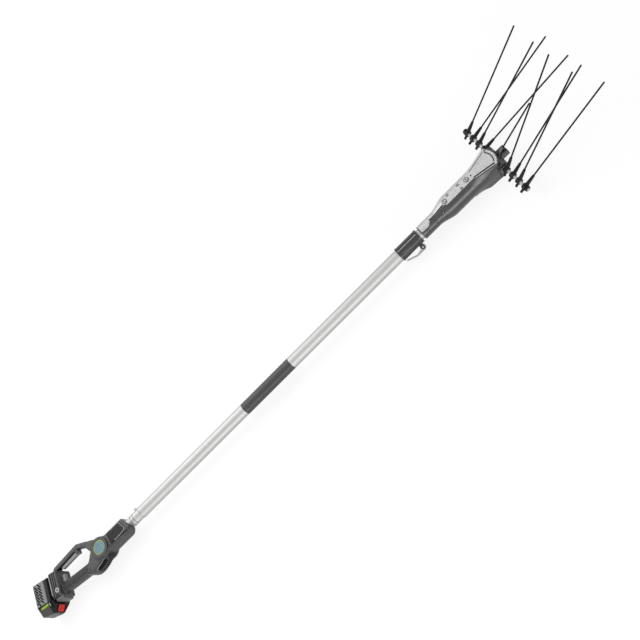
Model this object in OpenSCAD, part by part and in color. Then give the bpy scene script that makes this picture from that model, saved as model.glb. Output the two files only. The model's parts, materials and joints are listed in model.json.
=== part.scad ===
// Electric olive harvester: battery handle, telescopic pole and rocking rake head.
// The tool lies on its side. X runs along the pole from the handle to the rake, Z is
// up and Y points to the hand guard. Lengths are in millimetres.

/* [Pole] */
// Outside diameter of the outer tube
tube_d = 40; // [38:0.5:42]
// Wall of both tubes
tube_wall = 1.5; // [1.2:0.1:2]
// Radial gap between the two tubes
tube_play = 1; // [0.8:0.1:1.4]
// Outer tube seen between the ferrule and the collar
tube_show_l = 1172; // [1000:1:1300]
// Ferrule seen between the sleeve and the outer tube
ferrule_show_l = 54; // [45:1:70]
// Length of the ferrule inside the outer tube, and inside the sleeve
ferrule_in_l = 60; // [50:1:70]
// Travel of the inner tube
slide_l = 680; // [400:10:700]
// Inner tube left inside the collar and the outer tube when it is pulled out
tube_overlap_l = 130; // [120:5:160]
// Length of the guide plug on the inner tube
guide_l = 30; // [20:1:40]
// Diameter of the snap button on the ferrule
snap_d = 9; // [7:0.5:10]
// Height of the snap button above the ferrule
snap_up = 6.5; // [4:0.5:7]

/* [Collar] */
// Length of the clamp collar
collar_l = 83; // [75:1:95]
// Wall of the collar over the outer tube
collar_wall = 2.5; // [2.2:0.1:4]
// Length of the bush that grips the inner tube
collar_bush_l = 34; // [25:1:40]
// Grooves round the collar
collar_grooves = 18; // [12:1:24]
// Length of the cam lever from its pin to its tip
cam_lever_l = 62; // [50:1:66]
// Width of the cam lever
cam_lever_w = 15; // [11:0.5:18]
// Diameter of the cam at the lever's pin
cam_d = 19; // [16:0.5:20]
// Diameter of the lever's pin
cam_pin_d = 5; // [4:0.5:6]

/* [Handle] */
// Diameter of the round hub behind the badge
hub_d = 73; // [70:1:78]
// Thickness of the hub
hub_t = 60; // [57:1:64]
// Length of the sleeve from the hub's centre
sleeve_l = 123; // [115:1:140]
// Width of the sleeve, across the loop
sleeve_w = 60; // [56:1:64]
// Thickness of the sleeve
sleeve_t = 53; // [51:1:55]
// Slant of the sleeve's end
sleeve_slant = 22; // [5:1:26]
// Width of the grip
grip_w = 37; // [33:1:40]
// Thickness of the grip
grip_t = 36; // [33:1:40]
// Width of the guard bar
guard_w = 18; // [17:0.5:20]
// Thickness of the guard bar
guard_t = 25; // [23:1:28]
// Reach of the guard bar from the pole's axis
guard_reach = 82; // [78:1:88]
// Wall of the handle's shells
shell_wall = 3; // [2.5:0.5:3.5]
// Length of the squeeze lever from its pin
squeeze_l = 80; // [65:1:90]
// Width of the squeeze lever
squeeze_w = 12; // [10:0.5:13]
// Thickness of the squeeze lever
squeeze_t = 12; // [9:0.5:14]
// Diameter of the squeeze lever's pin
squeeze_pin_d = 4; // [3:0.5:5]
// Travel of the rear button
rear_travel = 5; // [3:0.5:6]
// Bore of the strap bush
strap_bore_d = 8; // [5:0.5:9]

/* [Badge] */
// Outside diameter of the bezel
bezel_d = 68; // [64:1:70]
// Height of the bezel above the hub
bezel_t = 3; // [2.5:0.5:5]
// Diameter of the disc in the bezel
badge_d = 47; // [42:1:52]

/* [Battery] */
// Half the battery's width, which is also the pole axis's height above the floor
rest_h = 40; // [38:1:42]
// Depth of the battery behind the dock
battery_t = 64; // [62:1:72]
// Slant of the dock against the pole
dock_tilt = 12; // [9:1:14]
// Diameter of a cell
cell_d = 18.3; // [17:0.1:18.5]
// Length of a cell
cell_l = 65; // [60:1:66]

/* [Head] */
// Length of the head from its neck to the rake shaft
head_l = 303; // [300:1:320]
// Inner tube seen between the collar and the head
neck_show_l = 9; // [5:1:15]
// Diameter of the head's neck
neck_d = 46; // [45:1:50]
// Diameter of the head's belly
belly_d = 70; // [69:0.5:74]
// Width of the head at the rake
fan_w = 80; // [79:1:84]
// Height of the cover above the pole's axis
head_top = 33; // [33:0.5:34]
// Wall of the head's body
head_wall = 3; // [2.5:0.1:3.2]
// Diameter of the motor
motor_d = 28; // [25:0.5:28.5]
// Length of the motor
motor_l = 64; // [56:1:68]
// Gear module
gear_m = 0.8; // [0.78:0.01:0.82]
// Throw of the crank pin
crank_throw = 6.5; // [5.5:0.1:6.5]
// Distance from the crank bearing to the rake shaft
fork_arm = 33; // [32:0.5:34]

/* [Rake] */
// Diameter of the rake shaft
shaft_d = 10; // [9:0.5:11]
// Distance from the pole's axis to the first tine holder
holder_first = 52; // [50:0.5:56]
// Distance between tine holders
holder_pitch = 28; // [26:0.5:30]
// Reach of a tine from the shaft's axis
tine_l = 350; // [300:5:380]
// Reach of the centre tine from the shaft's axis
centre_tine_l = 190; // [150:5:220]
// Diameter of a tine
tine_d = 5; // [4:0.5:6]
// Lean of every other tine
lean_high = 36; // [30:1:40]
// Lean of the tines between them
lean_low = 17; // [12:1:22]
// Lean of the centre tine
lean_centre = 26; // [20:1:30]

/* [Hidden] */
$fn = 48;
// Extra length of every cut
over = 1;
// Radial clearance of shafts and pins that turn, and of tubes that slide
run_gap = 0.05;
// Clearance of pieces that are pressed or glued together
fit_gap = 0.05;
// Gap between pieces that only sit beside each other
seat_gap = 0.2;
// Gap between faces of different bodies
move_gap = 0.4;

// Places along the pole, from the hub's centre
tube_x = sleeve_l + ferrule_show_l;
collar_x = tube_x + tube_show_l;
collar_end = collar_x + collar_l;
head_x = collar_end + neck_show_l;
rake_x = head_x + head_l;

// Tubes, and the ferrule that joins them to the sleeve
tube_r = tube_d / 2;
tube_bore_r = tube_r - tube_wall;
inner_r = tube_bore_r - tube_play;
inner_bore_r = inner_r - tube_wall;
inner_x = collar_end - tube_overlap_l - slide_l;
tube_end = collar_end - collar_bush_l;
ferrule_r = tube_bore_r - fit_gap;
ferrule_bore_r = ferrule_r - tube_wall;
guide_head_share = 0.35;
guide_wall = 3;

// The snap button leans from the guard's side towards the badge
snap_lean = 33;
snap_place_share = 0.86;
snap_x = sleeve_l + ferrule_show_l * snap_place_share;
snap_head_t = 2.5;
snap_head_r = snap_d / 2 + snap_head_t;

// Collar and its cam lever
collar_r = tube_r + collar_wall;
collar_lip = 1;
collar_lip_l = 6;
collar_slit_w = 3;
collar_groove_d = 2;
cam_round = 123;
cam_back = 16;
cam_up = cam_d / 2 + move_gap;
cam_ear_t = 3;
cam_ear_in = 3;
cam_lever_t = 5;
cam_tip_up = 3;
cam_bend_share = 0.45;
cam_root_share = 0.4;

// Handle, seen from the badge's side: x back from the hub, y to the guard
hub_edge = 8;
sleeve_edge = 15;
sleeve_ring_l = 9;
web_t = 6;
web_places = [sleeve_l - ferrule_in_l, sleeve_l - ferrule_in_l + 4 * web_t];
neck_x = -56;
neck_y = -24;
bulge_d = 66;
neck_t = 54;
neck_edge = 14;
neck_w = 50;
grip_front = [-74, -18];
grip_rear = [-206, -1];
grip_edge = 15;
guard_root = [-12, 22];
guard_front = [-92, guard_reach];
guard_drop = 8;
guard_rear = [-203, guard_reach - guard_drop];
// Web that fills the corner between the hub, the neck and the guard bar
guard_web_outline = [[5, 5], [-36, -5], [-66, 54], [-74, 74], [-27, 57], [-6, 42]];
// The bends of the handle stand this much proud of its bars
bend_proud = 1.2;

// Dock frame: its origin lies on the face that the battery slides along
dock_x = -233;
dock_y = 21;
dock_d = 39;
dock_high = 47;
dock_low = 42;
dock_t = 70;
dock_edge = 7;
dock_gap = 1;
rail_high = 36;
rail_low = 36;
rail_neck_w = 40;
rail_head_w = 50;
rail_neck_t = 5;
rail_head_t = 4;
rail_flange_w = 47;
rail_flange_t = 3;
rail_gap = 0.5;
term_n = 3;
term_l = 16;
term_w = 7;
term_t = 1;
term_pitch = 12;
strap_wall = 1.5;
strap_in = 28;
strap_low = 20;
strap_proud = 0.5;
// Lip across the dock's low end
lip_l = 12;
lip_w = 58;
lip_in = 8;
lip_proud = 2;

// Squeeze lever, along the inner side of the guard bar
guard_run = guard_rear - guard_front;
guard_angle = atan2(guard_run[1], guard_run[0]);
squeeze_clear = 1.6;
squeeze_in = guard_w / 2 + bend_proud / 2 + squeeze_w / 2 + squeeze_clear;
squeeze_back = 9;
squeeze_nose = 6;
squeeze_lug_t = 4;
squeeze_tip_share = 0.7;
switch_l = 15;
switch_t = 8;
plunger_d = 3;
// The lever's nose comes this much nearer to the guard when it is pulled
squeeze_dip = 1.2;

// Rear button in the loop's rear wall
rear_w = 24;
rear_t = 15;
rear_up = 9;
rear_rim = 2;
rear_rim_t = 3;
rear_y = 17;

// Badge, pads and grille
bezel_sink = 2;
disc_sink = 0.8;
pad_t = 3;
pad_proud = 1;
pad_start = 42;
pad_end_in = 24;
pad_w = 44;
pad_shift = 2;
grip_pad_t = 2;
grip_pad_front_share = 0.2;
grip_pad_rear_share = 0.8;
grip_pad_in = 4;
grille_t = 2.4;
grille_half = 17;
grille_start = 262;
grille_end = 304;
grille_ribs = 6;
grille_rib_t = 2.2;

// Shell screws and the control board
screw_d = 3.5;
screw_head_d = 7;
screw_head_t = 3;
screw_l = 14;
screw_boss_d = 11;
board_l = 54;
board_w = 24;
board_t = 2;
board_x = -30;
board_y = -12;
board_z = -13;
board_post_d = 6;
board_post_in = 5;
chips = 4;
chip_s = 8;
chip_t = 5;

// Battery, in the dock frame: -x away from the dock, -y the way that it slides off
battery_high = 38;
battery_low = 72;
battery_nose = 78;
nose_in = 26;
nose_front = 11;
battery_chin = 5;
battery_chin_y = 54;
battery_step = 43;
battery_bevel_y = 42;
battery_bevel_z = 20;
battery_edge = 4;
battery_lid_t = 20;
cell_rows = 2;
cell_cols = 4;
cell_gap = 0.5;
cell_top = 36;
latch_l = 22;
latch_w = 26;
latch_t = 6;
latch_proud = 1;
latch_travel = 4;
vents = 9;
vent_columns = 2;
vent_l = 13;
vent_w = 3.6;
vent_pitch = 8.4;
vent_deep = 1.2;
vent_back = 12;
vent_column_pitch = 16;
vent_turn = -52;
vent_high = 29;

// Head, measured from its neck
socket_l = 58;
neck_l = 62;
taper_l = 50;
fan_l = 117;
fan_x = head_l - fan_l;
fan_root_w = 60;
fan_root_h = 18;
// The fan's top edges run out from the belly to the rake, and its flanks lean out below them
fan_edge_in = 84;
fan_edge_w = 36;
fan_edge_turn = 14.5;
fan_flank_turn = 30;
fan_full_in = 67;
nose_r = 16.5;
front_rim = 3.5;
cover_neck_w = 25;
cover_belly_w = 27;
cover_fan_w = 72;
cover_low = 18.5;
cover_gap = 0.3;
cover_start = 4;
cover_front = 6;
cover_arc_r = 48;
cover_fan_in = 84;
cover_slot_w = 2;
cover_slot_l = 42;
cover_slot_in = 8;
cover_hole_d = 5;
cover_screw_first = 113;
cover_screw_in = 102;
cover_screw_x = [cover_screw_first, head_l - cover_screw_in];
cover_boss_d = 18;
cover_boss_t = 1.5;
cover_screw_d = 4;
cover_screw_head_d = 9;
cover_screw_head_t = 2.5;
bridge_l = 10;
bridge_t = 9;
window_w = 34;
window_h = 52;

// Drive: the crank turns on the pole's axis, the motor lies below it
plate_in = 59;
plate_x = head_l - plate_in;
plate_t = 8;
gear_gap = 2;
gear_w = 8;
pinion_teeth = 12;
crank_teeth = 30;
gear_distance = gear_m * (pinion_teeth + crank_teeth) / 2;
gear_start = plate_x + plate_t + gear_gap;
crank_shaft_d = 8;
crank_shaft_in = 0.5;
crank_pin_d = 6;
crank_pin_out = 1;
crank_step_d = 9;
crank_bearing_d = 16;
crank_bearing_w = 6;
crank_bearing_x = head_l - fork_arm - crank_bearing_w / 2;
motor_wall = 2;
motor_end_t = 4;
motor_shaft_d = 5;
motor_shaft_out = 3;
rotor_gap = 0.8;
rotor_end_gap = 2;
plate_hole_d = 7;
pressure_angle = 25;
addendum_share = 0.8;
dedendum_share = 1.05;
backlash_share = 0.12;
flank_steps = 3;

// Rocker fork on the rake shaft, with play round the crank bearing
fork_play = 2.2;
fork_prong_t = 4;
fork_tip = 0.5;
fork_gap = 5;
fork_w = 30;
fork_hub_d = 26;
fork_web_in = 8;
fork_nose_l = 42;
fork_nose_in = 8;
fork_nose_w = 27;
fork_nose_t = 19;
shaft_bearing_d = 26;
shaft_bearing_w = 8;
bearing_in = 2;
bearing_boss_d = 32;
bearing_boss_in = 18;

// Rake
holder_ring_d = 20;
holder_ring_w = 12;
holder_root_d = 13;
holder_tip_d = 8;
holder_reach = 40;
holder_tail = 22;
holder_tail_d = 8;
tine_in = 14;
nut_d = 18;
nut_t = 7;
nut_gap = 0.2;
shaft_out = 2;
// Toe of the tines towards the middle, from the innermost holder outwards
toe_in = [7.5, 6, 0, 0];
holders_side = len(toe_in);
holders = 2 * holders_side;
holder_last = holder_first + (holders_side - 1) * holder_pitch;
shaft_half = holder_last + holder_ring_w / 2 + nut_gap + nut_t + shaft_out;

// Battery seen from the side, in the dock frame
battery_outline = [
    [-dock_gap, battery_high], [-battery_t, battery_high], [-battery_t, -battery_low],
    [-nose_in, -battery_nose], [-nose_front, -battery_nose],
    [battery_chin, -battery_chin_y], [battery_chin, -battery_step], [-dock_gap, -battery_step]
];
// Battery seen from behind: along the slide, then across
battery_section = [
    [battery_high, rest_h - battery_edge], [battery_high - battery_edge, rest_h],
    [-battery_bevel_y, rest_h], [-battery_nose - over, battery_bevel_z],
    [-battery_nose - over, -battery_bevel_z], [-battery_bevel_y, -rest_h],
    [battery_high - battery_edge, -rest_h], [battery_high, battery_edge - rest_h]
];

function dock_point(p) = [
    dock_x + p[0] * cos(dock_tilt) + p[1] * sin(dock_tilt),
    dock_y - p[0] * sin(dock_tilt) + p[1] * cos(dock_tilt)
];

// Origin: the middle of the part's box, on the floor
back_x = min([for (p = battery_outline) dock_point(p)[0]]);
front_x = rake_x + (tine_l - tine_d / 2) * cos(lean_low) + tine_d / 2;
origin_x = (back_x + front_x) / 2;

// Shapes used by several pieces

// Cylinder along X from one place to another
module rod_x(r, x0, x1) {
    translate([x0, 0, 0])
        rotate([0, 90, 0])
            cylinder(r = r, h = x1 - x0);
}

// Tube along X
module pipe_x(r, bore, x0, x1) {
    difference() {
        rod_x(r, x0, x1);
        rod_x(bore, x0 - over, x1 + over);
    }
}

// Cylinder along Y, centred on its place
module rod_y(r, l) {
    rotate([90, 0, 0])
        cylinder(r = r, h = l, center = true);
}

// Box from one corner to the other
module span(a, b) {
    translate(a)
        cube(b - a);
}

// Flat rectangle with round corners
module round_rect(w, h, r) {
    square([w - 2 * r, h], center = true);
    square([w, h - 2 * r], center = true);
    for (sx = [-1, 1], sy = [-1, 1])
        translate([sx * (w / 2 - r), sy * (h / 2 - r)])
            circle(r);
}

// Disc lying flat, with a round rim
module soft_disc(p, d, t, edge) {
    translate([p[0], p[1], 0])
        rotate_extrude()
            intersection() {
                round_rect(d, t, edge);
                translate([0, -t / 2])
                    square([d / 2, t]);
            }
}

// Bar lying flat from p to q, with round edges
module soft_bar(p, q, w, t, edge) {
    d = q - p;
    translate([p[0], p[1], 0])
        rotate([0, 0, atan2(d[1], d[0])])
            rotate([90, 0, 90])
                linear_extrude(norm(d))
                    round_rect(w, t, edge);
}

// Places things in the frame of the dock
module dock_frame() {
    translate([dock_x, dock_y, 0])
        rotate([0, 0, -dock_tilt])
            children();
}

// Places things along the head, from its neck
module head_frame() {
    translate([head_x, 0, 0])
        children();
}

// Moves the tool so that its origin is the middle of its box, on the floor
module placed() {
    translate([-origin_x, 0, rest_h])
        children();
}

// Pole

module outer_tube() {
    color("lightgray")
        pipe_x(tube_r, tube_bore_r, tube_x, tube_end);
}

module snap_frame() {
    translate([snap_x, 0, 0])
        rotate([snap_lean - 90, 0, 0])
            children();
}

module pole_ferrule() {
    color("gainsboro")
        difference() {
            pipe_x(ferrule_r, ferrule_bore_r, sleeve_l - ferrule_in_l, tube_x + ferrule_in_l);
            snap_frame()
                cylinder(r = snap_d / 2 + run_gap, h = tube_d);
        }
}

module snap_button() {
    head_top_z = sqrt(pow(ferrule_bore_r, 2) - pow(snap_head_r, 2)) - move_gap;
    color("dimgray")
        snap_frame()
            translate([0, 0, head_top_z - snap_head_t]) {
                cylinder(r = snap_head_r, h = snap_head_t);
                cylinder(d = snap_d, h = ferrule_r + snap_up - head_top_z + snap_head_t);
            }
}

// Frame of the cam lever: its pin at the origin, Z away from the pole
module cam_frame() {
    rotate([cam_round, 0, 0])
        translate([collar_end - cam_back, 0, collar_r + cam_up])
            children();
}

module cam_ears() {
    ear_d = cam_d - 2 * cam_ear_in;
    for (s = [-1, 1])
        translate([0, s * (cam_lever_w / 2 + move_gap + cam_ear_t / 2), 0])
            rotate([90, 0, 0])
                linear_extrude(cam_ear_t, center = true) {
                    circle(d = ear_d);
                    translate([-ear_d / 2, -cam_up - collar_wall])
                        square([ear_d, cam_up + collar_wall]);
                }
}

module collar_body() {
    groove_ends = collar_lip_l + collar_groove_d;
    color("dimgray")
        difference() {
            union() {
                rod_x(collar_r, collar_x, collar_end);
                for (x = [collar_x, collar_end - collar_lip_l])
                    rod_x(collar_r + collar_lip, x, x + collar_lip_l);
                cam_frame()
                    cam_ears();
            }
            rod_x(tube_r + fit_gap, collar_x - over, tube_end);
            rod_x(inner_r + guide_wall + fit_gap, tube_end - over, collar_end + over);
            for (i = [1:collar_grooves])
                rotate([360 / collar_grooves * (i - 0.5), 0, 0])
                    translate([0, 0, collar_r + collar_groove_d / 4])
                        rod_x(collar_groove_d / 2, collar_x + groove_ends, collar_end - groove_ends);
            // Slit along the top
            span([collar_x + groove_ends, -collar_slit_w / 2, collar_r - collar_wall / 2],
                 [collar_end + over, collar_slit_w / 2, collar_r + collar_lip + over]);
            cam_frame()
                rod_y(cam_pin_d / 2 + fit_gap, cam_lever_w + 4 * cam_ear_t);
        }
}

module collar_bush() {
    color("black")
        pipe_x(inner_r + guide_wall, inner_r + run_gap, tube_end + seat_gap, collar_end);
}

module cam_lever() {
    bend_x = -cam_lever_l * cam_bend_share;
    tip_z = cam_tip_up - cam_up;
    color("silver")
        cam_frame()
            difference() {
                rotate([90, 0, 0])
                    linear_extrude(cam_lever_w, center = true) {
                        circle(d = cam_d);
                        polygon([
                            [0, cam_d / 2], [bend_x, cam_d / 2],
                            [-cam_lever_l, tip_z + cam_lever_t], [-cam_lever_l, tip_z],
                            [bend_x, cam_d / 2 - cam_lever_t], [-cam_d * cam_root_share, 0]
                        ]);
                    }
                rod_y(cam_pin_d / 2 + run_gap, cam_lever_w + 2 * over);
            }
}

module cam_pin() {
    color("gray")
        cam_frame()
            rod_y(cam_pin_d / 2, cam_lever_w + 2 * (move_gap + cam_ear_t));
}

module inner_tube() {
    color("gainsboro")
        pipe_x(inner_r, inner_bore_r, inner_x, head_x + socket_l);
}

module tube_guide() {
    head_start = inner_x - guide_l * guide_head_share;
    color("black")
        difference() {
            union() {
                rod_x(tube_bore_r - run_gap, head_start, inner_x);
                rod_x(inner_bore_r - fit_gap, head_start, head_start + guide_l);
            }
            rod_x(inner_bore_r - guide_wall, head_start - over, head_start + guide_l + over);
        }
}

// Handle

// Outer form of the handle, or its hollow when it is drawn in by the wall
module handle_form(k) {
    soft_disc([0, 0], hub_d - 2 * k, hub_t - 2 * k, hub_edge - k);
    sleeve_form(k);
    soft_bar([0, 0], [neck_x, neck_y], neck_w - 2 * k, neck_t - 2 * k, neck_edge - k);
    soft_disc([neck_x, neck_y], bulge_d - 2 * k, neck_t + bend_proud - 2 * k, neck_edge - k);
    grip_form(k, grip_front, grip_rear);
    dock_frame()
        soft_bar([dock_d / 2, dock_high - k], [dock_d / 2, k - dock_low],
                 dock_d - 2 * k, dock_t - 2 * k, dock_edge - k);
    guard_form(k);
    if (k == 0) {
        linear_extrude(guard_t, center = true)
            polygon(guard_web_outline);
        dock_frame()
            span([lip_in, -dock_low - lip_l, -lip_w / 2], [dock_d + lip_proud, lip_l - dock_low, lip_w / 2]);
    }
}

module sleeve_form(k) {
    soft_bar([0, 0], [sleeve_l + sleeve_w, 0], sleeve_w - 2 * k, sleeve_t - 2 * k, sleeve_edge - k);
}

module grip_form(k, p, q) {
    soft_bar(p, q, grip_w - 2 * k, grip_t - 2 * k, grip_edge - k);
}

// The guard is a flat bar that bends round the loop
module guard_form(k) {
    path = [guard_root, guard_front, guard_rear, dock_point([dock_d / 2, dock_high / 2])];
    linear_extrude(guard_t - 2 * k, center = true)
        for (i = [1:len(path) - 1]) {
            d = path[i] - path[i - 1];
            translate(path[i - 1])
                rotate(atan2(d[1], d[0]))
                    translate([0, k - guard_w / 2])
                        square([norm(d), guard_w - 2 * k]);
            translate(path[i])
                circle(d = guard_w + bend_proud - 2 * k);
        }
}

// Everything beyond the slanted end of the sleeve, moved back by some length
module past_sleeve(back) {
    far = sleeve_l + sleeve_w;
    translate([sleeve_l - back, 0, 0])
        rotate([0, 0, sleeve_slant])
            span([0, -far, -far], [2 * far, far, far]);
}

// Screws hold the shells together at the neck, hub, sleeve, guard and dock
hub_screw_shares = [-0.2, -0.34];
sleeve_screw_shares = [[0.34, 0.36], [0.34, -0.36]];
dock_screw_shares = [0.72, -0.7];
screw_places = concat(
    [[neck_x, neck_y], hub_d * hub_screw_shares, guard_rear],
    [for (s = sleeve_screw_shares) [sleeve_l * s[0], sleeve_w * s[1]]],
    [for (s = dock_screw_shares) dock_point([dock_d / 2, dock_high * s])]
);

// Frame of the squeeze lever: its pin at the origin, X to the rear, Y to the grip
module squeeze_frame() {
    translate([guard_front[0], guard_front[1], 0])
        rotate([0, 0, guard_angle])
            translate([squeeze_back, squeeze_in, 0])
                children();
}

module squeeze_lugs() {
    squeeze_frame()
        for (s = [-1, 1])
            translate([0, 0, s * (squeeze_t / 2 + move_gap + squeeze_lug_t / 2)]) {
                cylinder(d = squeeze_w, h = squeeze_lug_t, center = true);
                translate([0, -squeeze_in / 2, 0])
                    cube([squeeze_w, squeeze_in, squeeze_lug_t], center = true);
            }
}

// Frame of the rear button: its seat in the loop's rear wall
module rear_frame() {
    dock_frame()
        translate([dock_d, rear_y, 0])
            children();
}

module strap_frame() {
    dock_frame()
        translate([strap_in, -strap_low, 0])
            children();
}

module board_posts() {
    for (x = [board_x + board_post_in, board_x + board_l - board_post_in],
         y = [board_y + board_post_in, board_y + board_w - board_post_in])
        translate([x, y, board_z - hub_t])
            cylinder(d = board_post_d, h = hub_t);
}

// Posts, webs and bosses inside the shells
module shell_inside() {
    intersection() {
        handle_form(0);
        union() {
            for (p = screw_places)
                translate([p[0], p[1], 0])
                    cylinder(d = screw_boss_d, h = dock_t, center = true);
            strap_frame()
                cylinder(d = strap_bore_d + 4 * strap_wall, h = dock_t, center = true);
            for (x = web_places)
                span([x, -sleeve_w, -sleeve_w], [x + web_t, sleeve_w, sleeve_w]);
            board_posts();
        }
    }
}

module shell_holes() {
    past_sleeve(sleeve_ring_l);
    rod_x(ferrule_r + seat_gap, sleeve_l - ferrule_in_l - seat_gap, sleeve_l + sleeve_w);
    strap_frame()
        cylinder(d = strap_bore_d + 2 * strap_wall + 2 * fit_gap, h = dock_t + 2 * over, center = true);
    squeeze_frame() {
        cylinder(r = squeeze_pin_d / 2 + fit_gap, h = guard_t + 2 * over, center = true);
        translate([-squeeze_nose / 2, -squeeze_in / 2, 0])
            rod_y(plunger_d / 2 + move_gap, squeeze_in);
    }
    rear_frame()
        span([-shell_wall - over, -rear_w / 2 - move_gap, -rear_t / 2 - move_gap],
             [over, rear_w / 2 + move_gap, rear_t / 2 + move_gap]);
    dock_frame()
        span([-over, -rail_low - seat_gap, -rail_neck_w / 2 - seat_gap],
             [shell_wall + over, rail_high + seat_gap, rail_neck_w / 2 + seat_gap]);
    difference() {
        pad_zone(seat_gap);
        sleeve_form(pad_t - pad_proud + seat_gap);
    }
    translate([0, 0, hub_t / 2 - bezel_sink])
        cylinder(r = bezel_d / 2 + seat_gap, h = hub_t);
    grille_ring(hub_d / 2 - grille_t - seat_gap, hub_d, grille_half + seat_gap, seat_gap);
    for (p = screw_places)
        translate([p[0], p[1], 0]) {
            cylinder(d = screw_d + 2 * fit_gap, h = screw_l, center = true);
            translate([0, 0, -screw_l / 2 - hub_t])
                cylinder(d = screw_head_d + 2 * seat_gap, h = hub_t);
        }
}

// Half of the handle: side 1 is the badge's half, side -1 the other
module handle_shell(side) {
    far = 2 * (sleeve_l + sleeve_w - dock_x);
    difference() {
        union() {
            difference() {
                handle_form(0);
                handle_form(shell_wall);
            }
            shell_inside();
            squeeze_lugs();
        }
        shell_holes();
        translate([0, 0, -side * hub_t])
            cube([far, far, 2 * hub_t], center = true);
    }
}

module handle_shell_upper() {
    color([0.29, 0.29, 0.31])
        handle_shell(1);
}

module handle_shell_lower() {
    color([0.29, 0.29, 0.31])
        handle_shell(-1);
}

module shell_screws() {
    color("gray")
        for (p = screw_places)
            translate([p[0], p[1], -screw_l / 2]) {
                cylinder(d = screw_d, h = screw_l - over);
                translate([0, 0, -screw_head_t])
                    cylinder(d = screw_head_d, h = screw_head_t);
            }
}

module grip_pad() {
    d = grip_rear - grip_front;
    color([0.16, 0.16, 0.17])
        difference() {
            grip_form(-grip_pad_t, grip_front + d * grip_pad_front_share, grip_front + d * grip_pad_rear_share);
            grip_form(-fit_gap, grip_front, grip_rear);
            translate([grip_front[0], grip_front[1], 0])
                rotate([0, 0, atan2(d[1], d[0])])
                    span([0, -grip_pad_in, -grip_t], [norm(d), grip_w, grip_t]);
        }
}

module badge_bezel() {
    color([0.13, 0.13, 0.14])
        translate([0, 0, hub_t / 2 - bezel_sink])
            difference() {
                cylinder(d = bezel_d, h = bezel_sink + bezel_t);
                translate([0, 0, bezel_sink + bezel_t - disc_sink - bezel_t / 2])
                    cylinder(r = badge_d / 2 + seat_gap, h = bezel_t + over);
            }
}

module badge_disc() {
    color([0.3, 0.5, 0.55])
        translate([0, 0, hub_t / 2 + bezel_t - disc_sink - bezel_t / 2])
            cylinder(d = badge_d, h = bezel_t / 2);
}

// Outline of the sleeve's pad, with a front edge along the sleeve's slant
module pad_zone(gap) {
    y0 = pad_shift - pad_w / 2 - gap;
    y1 = pad_shift + pad_w / 2 + gap;
    end = sleeve_l - pad_end_in + gap;
    linear_extrude(sleeve_t)
        polygon([
            [pad_start - gap, y0], [end - y0 * tan(sleeve_slant), y0],
            [end - y1 * tan(sleeve_slant), y1], [pad_start - gap, y1]
        ]);
}

module sleeve_pad() {
    color([0.12, 0.12, 0.12])
        difference() {
            intersection() {
                sleeve_form(-pad_proud);
                pad_zone(0);
            }
            sleeve_form(pad_t - pad_proud);
        }
}

module sleeve_end_ring() {
    color([0.1, 0.1, 0.1])
        difference() {
            intersection() {
                sleeve_form(0);
                past_sleeve(sleeve_ring_l);
            }
            past_sleeve(0);
            rod_x(ferrule_r + seat_gap, 0, sleeve_l + sleeve_w);
        }
}

// Part of a ring round the hub, wider by some gap at its ends
module grille_ring(r0, r1, half, gap) {
    rotate([0, 0, grille_start - gap])
        rotate_extrude(angle = grille_end - grille_start + 2 * gap)
            translate([r0, -half])
                square([r1 - r0, 2 * half]);
}

module hub_grille() {
    pitch = 2 * grille_half / grille_ribs;
    color([0.08, 0.08, 0.08]) {
        grille_ring(hub_d / 2 - grille_t, hub_d / 2, grille_half, 0);
        for (i = [1:grille_ribs])
            translate([0, 0, (i - 0.5) * pitch - grille_half])
                grille_ring(hub_d / 2 - grille_t / 2, hub_d / 2 + grille_rib_t / 2, grille_rib_t / 2, 0);
    }
}

module strap_bush() {
    color("whitesmoke")
        strap_frame()
            difference() {
                cylinder(d = strap_bore_d + 2 * strap_wall, h = dock_t + 2 * strap_proud, center = true);
                cylinder(d = strap_bore_d, h = dock_t + 2 * strap_proud + 2 * over, center = true);
            }
}

module control_board() {
    pitch = board_l / chips;
    color("darkgreen")
        translate([board_x, board_y, board_z]) {
            cube([board_l, board_w, board_t]);
            for (i = [1:chips])
                translate([(i - 0.5) * pitch - chip_s / 2, board_w / 2 - chip_s / 2, board_t])
                    cube([chip_s, chip_s, chip_t]);
        }
}

module lever_switch() {
    body_w = guard_w - 2 * shell_wall - 2 * seat_gap;
    color("black")
        squeeze_frame()
            translate([-squeeze_nose / 2, -squeeze_in, 0]) {
                cube([switch_l, body_w, switch_t], center = true);
                translate([0, (squeeze_in - squeeze_w / 2 - squeeze_dip) / 2, 0])
                    rod_y(plunger_d / 2, squeeze_in - squeeze_w / 2 - squeeze_dip);
            }
}

module squeeze_lever() {
    tip_r = squeeze_w * squeeze_tip_share / 2;
    color("darkgray")
        squeeze_frame()
            difference() {
                linear_extrude(squeeze_t, center = true) {
                    circle(d = squeeze_w);
                    translate([-squeeze_nose, -squeeze_w / 2])
                        square([squeeze_nose, squeeze_w / 2]);
                    polygon([
                        [0, -squeeze_w / 2], [squeeze_l - tip_r, -squeeze_w / 2],
                        [squeeze_l - tip_r, 2 * tip_r - squeeze_w / 2], [0, squeeze_w / 2]
                    ]);
                    translate([squeeze_l - tip_r, tip_r - squeeze_w / 2])
                        circle(tip_r);
                }
                cylinder(r = squeeze_pin_d / 2 + run_gap, h = squeeze_t + 2 * over, center = true);
            }
}

module squeeze_pin() {
    color("gray")
        squeeze_frame()
            cylinder(d = squeeze_pin_d, h = squeeze_t + 2 * (move_gap + squeeze_lug_t), center = true);
}

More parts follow.
